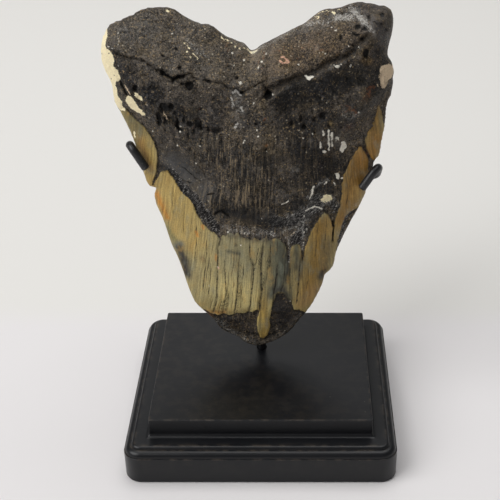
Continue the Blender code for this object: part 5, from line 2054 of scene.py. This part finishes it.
    def looks(self, ground: Ground, face: Face, paint: FacePaint) -> Looks:
        """Work out the values that colour one face.

        Args:
            ground: The face's points.
            face: Which face it is.
            paint: Everything that colours it.

        Returns:
            Each value's name and its numbers.
        """
        places, frayed, _ = ground
        jittered = (places + frayed) / 2
        glazed = np.maximum.reduce([depth_in(jittered, ring) for ring in paint.enamel])
        depths = np.array([scar.depth(jittered) for scar in paint.scars])
        shares = np.array([pit.share(frayed) for pit in paint.pits]).T
        # Painted shade for the hollows value: the insides of pits, the bare root's pores, and a line at the
        # foot of the enamel's ledge.
        dark = (shares * [pit.inner_shade for pit in paint.pits]).max(axis=1)
        shaded_pores = self.pore_relief(frayed, face) * self.pore_shade * (glazed < 0)
        ledge = self.ledge_shadow * bell(glazed - self.ledge_middle, self.ledge_width)
        seams = np.minimum.reduce([seam.gap(jittered) for seam in paint.seams])
        return {
            "root_paint": painted(paint.root_ground, paint.root_strokes, frayed),
            "enamel_paint": painted(paint.enamel_ground, paint.enamel_strokes, frayed),
            "pale_paint": np.array([scar.colour for scar in paint.scars])[depths.argmax(axis=0)],
            "pale_edge": np.clip(depths.max(axis=0), *self.border_span),
            "enamel_edge": np.clip(glazed, *self.border_span),
            "grain": self.grain(places, face),
            "dust": laid(paint.dust, frayed),
            "rust": laid(paint.rust, frayed),
            "crust": laid(paint.crust, frayed),
            "polish": laid(paint.polish, places),
            "fibrous": laid(paint.fibrous, places),
            "shade": laid(paint.shade, jittered),
            "pitted": laid(paint.pitted, frayed),
            "sooty": laid(paint.sooty, frayed),
            "seam": np.clip(seams, *self.border_span),
            "hollow": np.clip(np.maximum.reduce([dark, shaded_pores, ledge]), 0, 1),
            "pit_depth": shares @ [pit.depth for pit in paint.pits],
            **self.crack_looks(places + (frayed - places) * self.crack_fray, paint.cracks),
        }

    def blank(self) -> tuple[BMesh, np.ndarray]:
        """Make the ball that is spread over the outline, with more points in front.

        Returns:
            The ball, and one row of x, y and z for each of its points.
        """
        bm = bmesh.new()
        bmesh.ops.create_icosphere(bm, subdivisions=self.subdivisions, radius=1.0)
        finer = [edge for edge in bm.edges if all(vert.co.y < self.finer_in_front for vert in edge.verts)]
        bmesh.ops.subdivide_edges(bm, edges=finer, cuts=1, use_grid_fill=True)
        bmesh.ops.triangulate(bm, faces=bm.faces[:])
        ball = np.array([vert.co for vert in bm.verts])
        return bm, ball / np.linalg.norm(ball, axis=1)[:, None]

    def spread(self, ball: np.ndarray) -> Ground:
        """Spread the ball's points over the outline.

        Args:
            ball: The ball's points.

        Returns:
            Their places on the tooth's plane and their distance from its outline.
        """
        outline = self.smooth_outline()
        spokes = outline - self.centre
        spoke_bearing = np.arctan2(spokes[:, 1], spokes[:, 0])
        order = np.argsort(spoke_bearing)
        bearing = np.arctan2(ball[:, 2], ball[:, 0])
        limit = np.interp(bearing, spoke_bearing[order], np.hypot(*spokes.T)[order], period=math.tau)
        reach = np.clip(np.hypot(ball[:, 0], ball[:, 2]), 0, 1)
        even_reach = (1 - self.rim_share) * reach + self.rim_share * np.arcsin(reach) / (math.pi / 2)
        heading = np.column_stack([np.cos(bearing), np.sin(bearing)])
        places = self.centre + (even_reach * limit)[:, None] * heading
        edge = distance_to_line(places, np.vstack([outline, outline[:1]]))
        rim = self.centre + limit[:, None] * heading
        fray = self.outline_fray * self.lumps(rim, Face.FRONT, self.outline_fray_spacing)
        fray *= np.where(places[:, 1] > self.root_fray_height, 1.0, self.crown_fray)
        places = places + (fray * even_reach**self.outline_fray_power)[:, None] * heading
        return Ground(places, places, edge)

    def build(self, finish: FossilFinish) -> Object:
        """Spread, carve and colour the tooth.

        Args:
            finish: Its surface.

        Returns:
            The finished piece.
        """
        bm, ball = self.blank()
        ground = self.spread(ball)
        depth = np.zeros(len(ball))
        values: Looks = {}
        for face, paint in ((Face.FRONT, FRONT_PAINT), (Face.BACK, BACK_PAINT)):
            chosen = np.flatnonzero((ball[:, 1] < 0) == (face is Face.FRONT))
            places = ground.places[chosen]
            part = Ground(places, self.fray(places, face), ground.edge[chosen])
            looks = self.looks(part, face, paint)
            depth[chosen] = face.value * self.thickness(part, looks, face)
            for name, numbers in looks.items():
                whole = values.setdefault(name, np.zeros((len(ball), *numbers.shape[1:])))
                whole[chosen] = numbers
        depth[np.abs(ball[:, 1]) < self.on_the_rim] = 0
        for vert, (across, up), behind in zip(bm.verts, ground.places, depth):
            vert.co = Vector((across, behind, up)) * MM
        bm.transform(self.to_world())
        tooth = link_piece("fossil_tooth", mesh_of(bm, "fossil_tooth"), finish.material())
        tooth.data.shade_smooth()
        for name, numbers in values.items():
            store(tooth.data, name, numbers)
        return tooth


@dataclass(frozen=True)
class SoftBox:
    """A large soft light."""

    name: str
    place: Triple
    aim: Triple
    size: float
    power: float
    colour: Colour = (1.0, 1.0, 1.0)

    def build(self) -> None:
        """Hang the light."""
        light = bpy.data.lights.new(self.name, "AREA")
        light.shape = "SQUARE"
        light.size = self.size
        light.energy = self.power
        light.color = self.colour
        lamp = bpy.data.objects.new(self.name, light)
        lamp.location = self.place
        lamp.rotation_euler = (Vector(self.aim) - Vector(self.place)).to_track_quat("-Z", "Y").to_euler()
        bpy.context.scene.collection.objects.link(lamp)


@dataclass
class Studio:
    """The pale floor, the soft light and the viewpoint."""

    floor_radius: float = 6.0
    floor_sides: int = 96
    near_tone: Colour = srgb(228, 225, 225)
    far_tone: Colour = srgb(227, 225, 221)
    tone_change: Place = (52.0, 76.0)
    glow_span: Place = (1000.0, 3400.0)
    glow: float = 0.56
    floor_roughness: float = 0.7
    floor_shine: float = 0.25
    sky_level: float = 0.17
    horizon_level: float = 0.62
    horizon_reach: float = 0.16
    lights: tuple[SoftBox, ...] = (
        SoftBox("key", (-1.6, -0.8, 1.8), (0.0, 0.1, 0.05), 1.9, 47.5),
        SoftBox("back", (-0.25, 1.75, 1.05), (0.0, 0.0, 0.05), 0.9, 1.4),
        SoftBox("top", (0.1, 0.45, 1.5), (0.0, 0.3, 0.0), 1.2, 11.5),
    )
    camera_place: Triple = (0.01369, -0.33455, 0.27623)
    camera_fall_degrees: float = 31.09
    camera_lens: float = 75.6
    camera_shift: float = -0.0948
    nearest_seen: float = 0.01

    def floor_finish(self) -> Material:
        """Build the floor's plain surface, a little pinker near the viewer, with a painted glow far away that
        keeps it as pale there as where the lights fall.

        Returns:
            The material.
        """
        recipe = Recipe("pale floor")
        at = recipe.place()
        backwards = recipe.made("ShaderNodeSeparateXYZ", {0: at}, "Y")
        far = recipe.between(backwards, *self.tone_change)
        away = recipe.made("ShaderNodeVectorMath", {0: at}, "Value", operation="LENGTH")
        return recipe.finish(
            Base_Color=recipe.blend(far, self.near_tone, self.far_tone),
            Roughness=self.floor_roughness,
            Specular_IOR_Level=self.floor_shine,
            Emission_Color=self.far_tone,
            Emission_Strength=recipe.times(recipe.between(away, *self.glow_span), self.glow),
        )

    def sky(self) -> bpy.types.World:
        """Build the even light from all round, paler towards the horizon.

        Returns:
            The world.
        """
        world = bpy.data.worlds.new("studio")
        world.use_nodes = True
        tree = world.node_tree
        split = tree.nodes.new("ShaderNodeSeparateXYZ")
        tree.links.new(tree.nodes.new("ShaderNodeTexCoord").outputs["Generated"], split.inputs[0])
        rise = tree.nodes.new("ShaderNodeMapRange")
        rise.interpolation_type = "SMOOTHSTEP"
        tree.links.new(split.outputs["Z"], rise.inputs["Value"])
        rise.inputs["From Max"].default_value = self.horizon_reach
        rise.inputs["To Min"].default_value = self.horizon_level
        rise.inputs["To Max"].default_value = self.sky_level
        tree.links.new(rise.outputs[0], tree.nodes["Background"].inputs["Color"])
        return world

    def build(self) -> None:
        """Lay the floor, hang the lights and set up the viewpoint."""
        bm = bmesh.new()
        bmesh.ops.create_circle(bm, cap_ends=True, segments=self.floor_sides, radius=self.floor_radius)
        floor = link_piece("floor", mesh_of(bm, "floor"), self.floor_finish())
        if floor.data.polygons[0].normal.z < 0:
            floor.data.flip_normals()
        scene = bpy.context.scene
        scene.world = self.sky()
        for light in self.lights:
            light.build()
        camera = bpy.data.objects.new("viewpoint", bpy.data.cameras.new("viewpoint"))
        camera.location = self.camera_place
        camera.rotation_euler = (math.radians(90 - self.camera_fall_degrees), 0.0, 0.0)
        camera.data.lens = self.camera_lens
        camera.data.shift_x = self.camera_shift
        camera.data.clip_start = self.nearest_seen
        scene.collection.objects.link(camera)
        scene.camera = camera
        scene.view_settings.view_transform = "Standard"


def main() -> None:
    """Build the studio, the stand and the tooth, and log each piece's face count."""
    logging.basicConfig(level=logging.INFO, format="%(name)s: %(message)s")
    Studio().build()
    hand_over(MouldedBase().build(LacquerFinish()), "base_lacquer", "base")
    tooth = FossilTooth()
    StandRods().build(tooth.to_world(), RodPaint())
    hand_over(tooth.build(FossilFinish()), "fossil", "tooth")


if __name__ == "__main__":
    main()
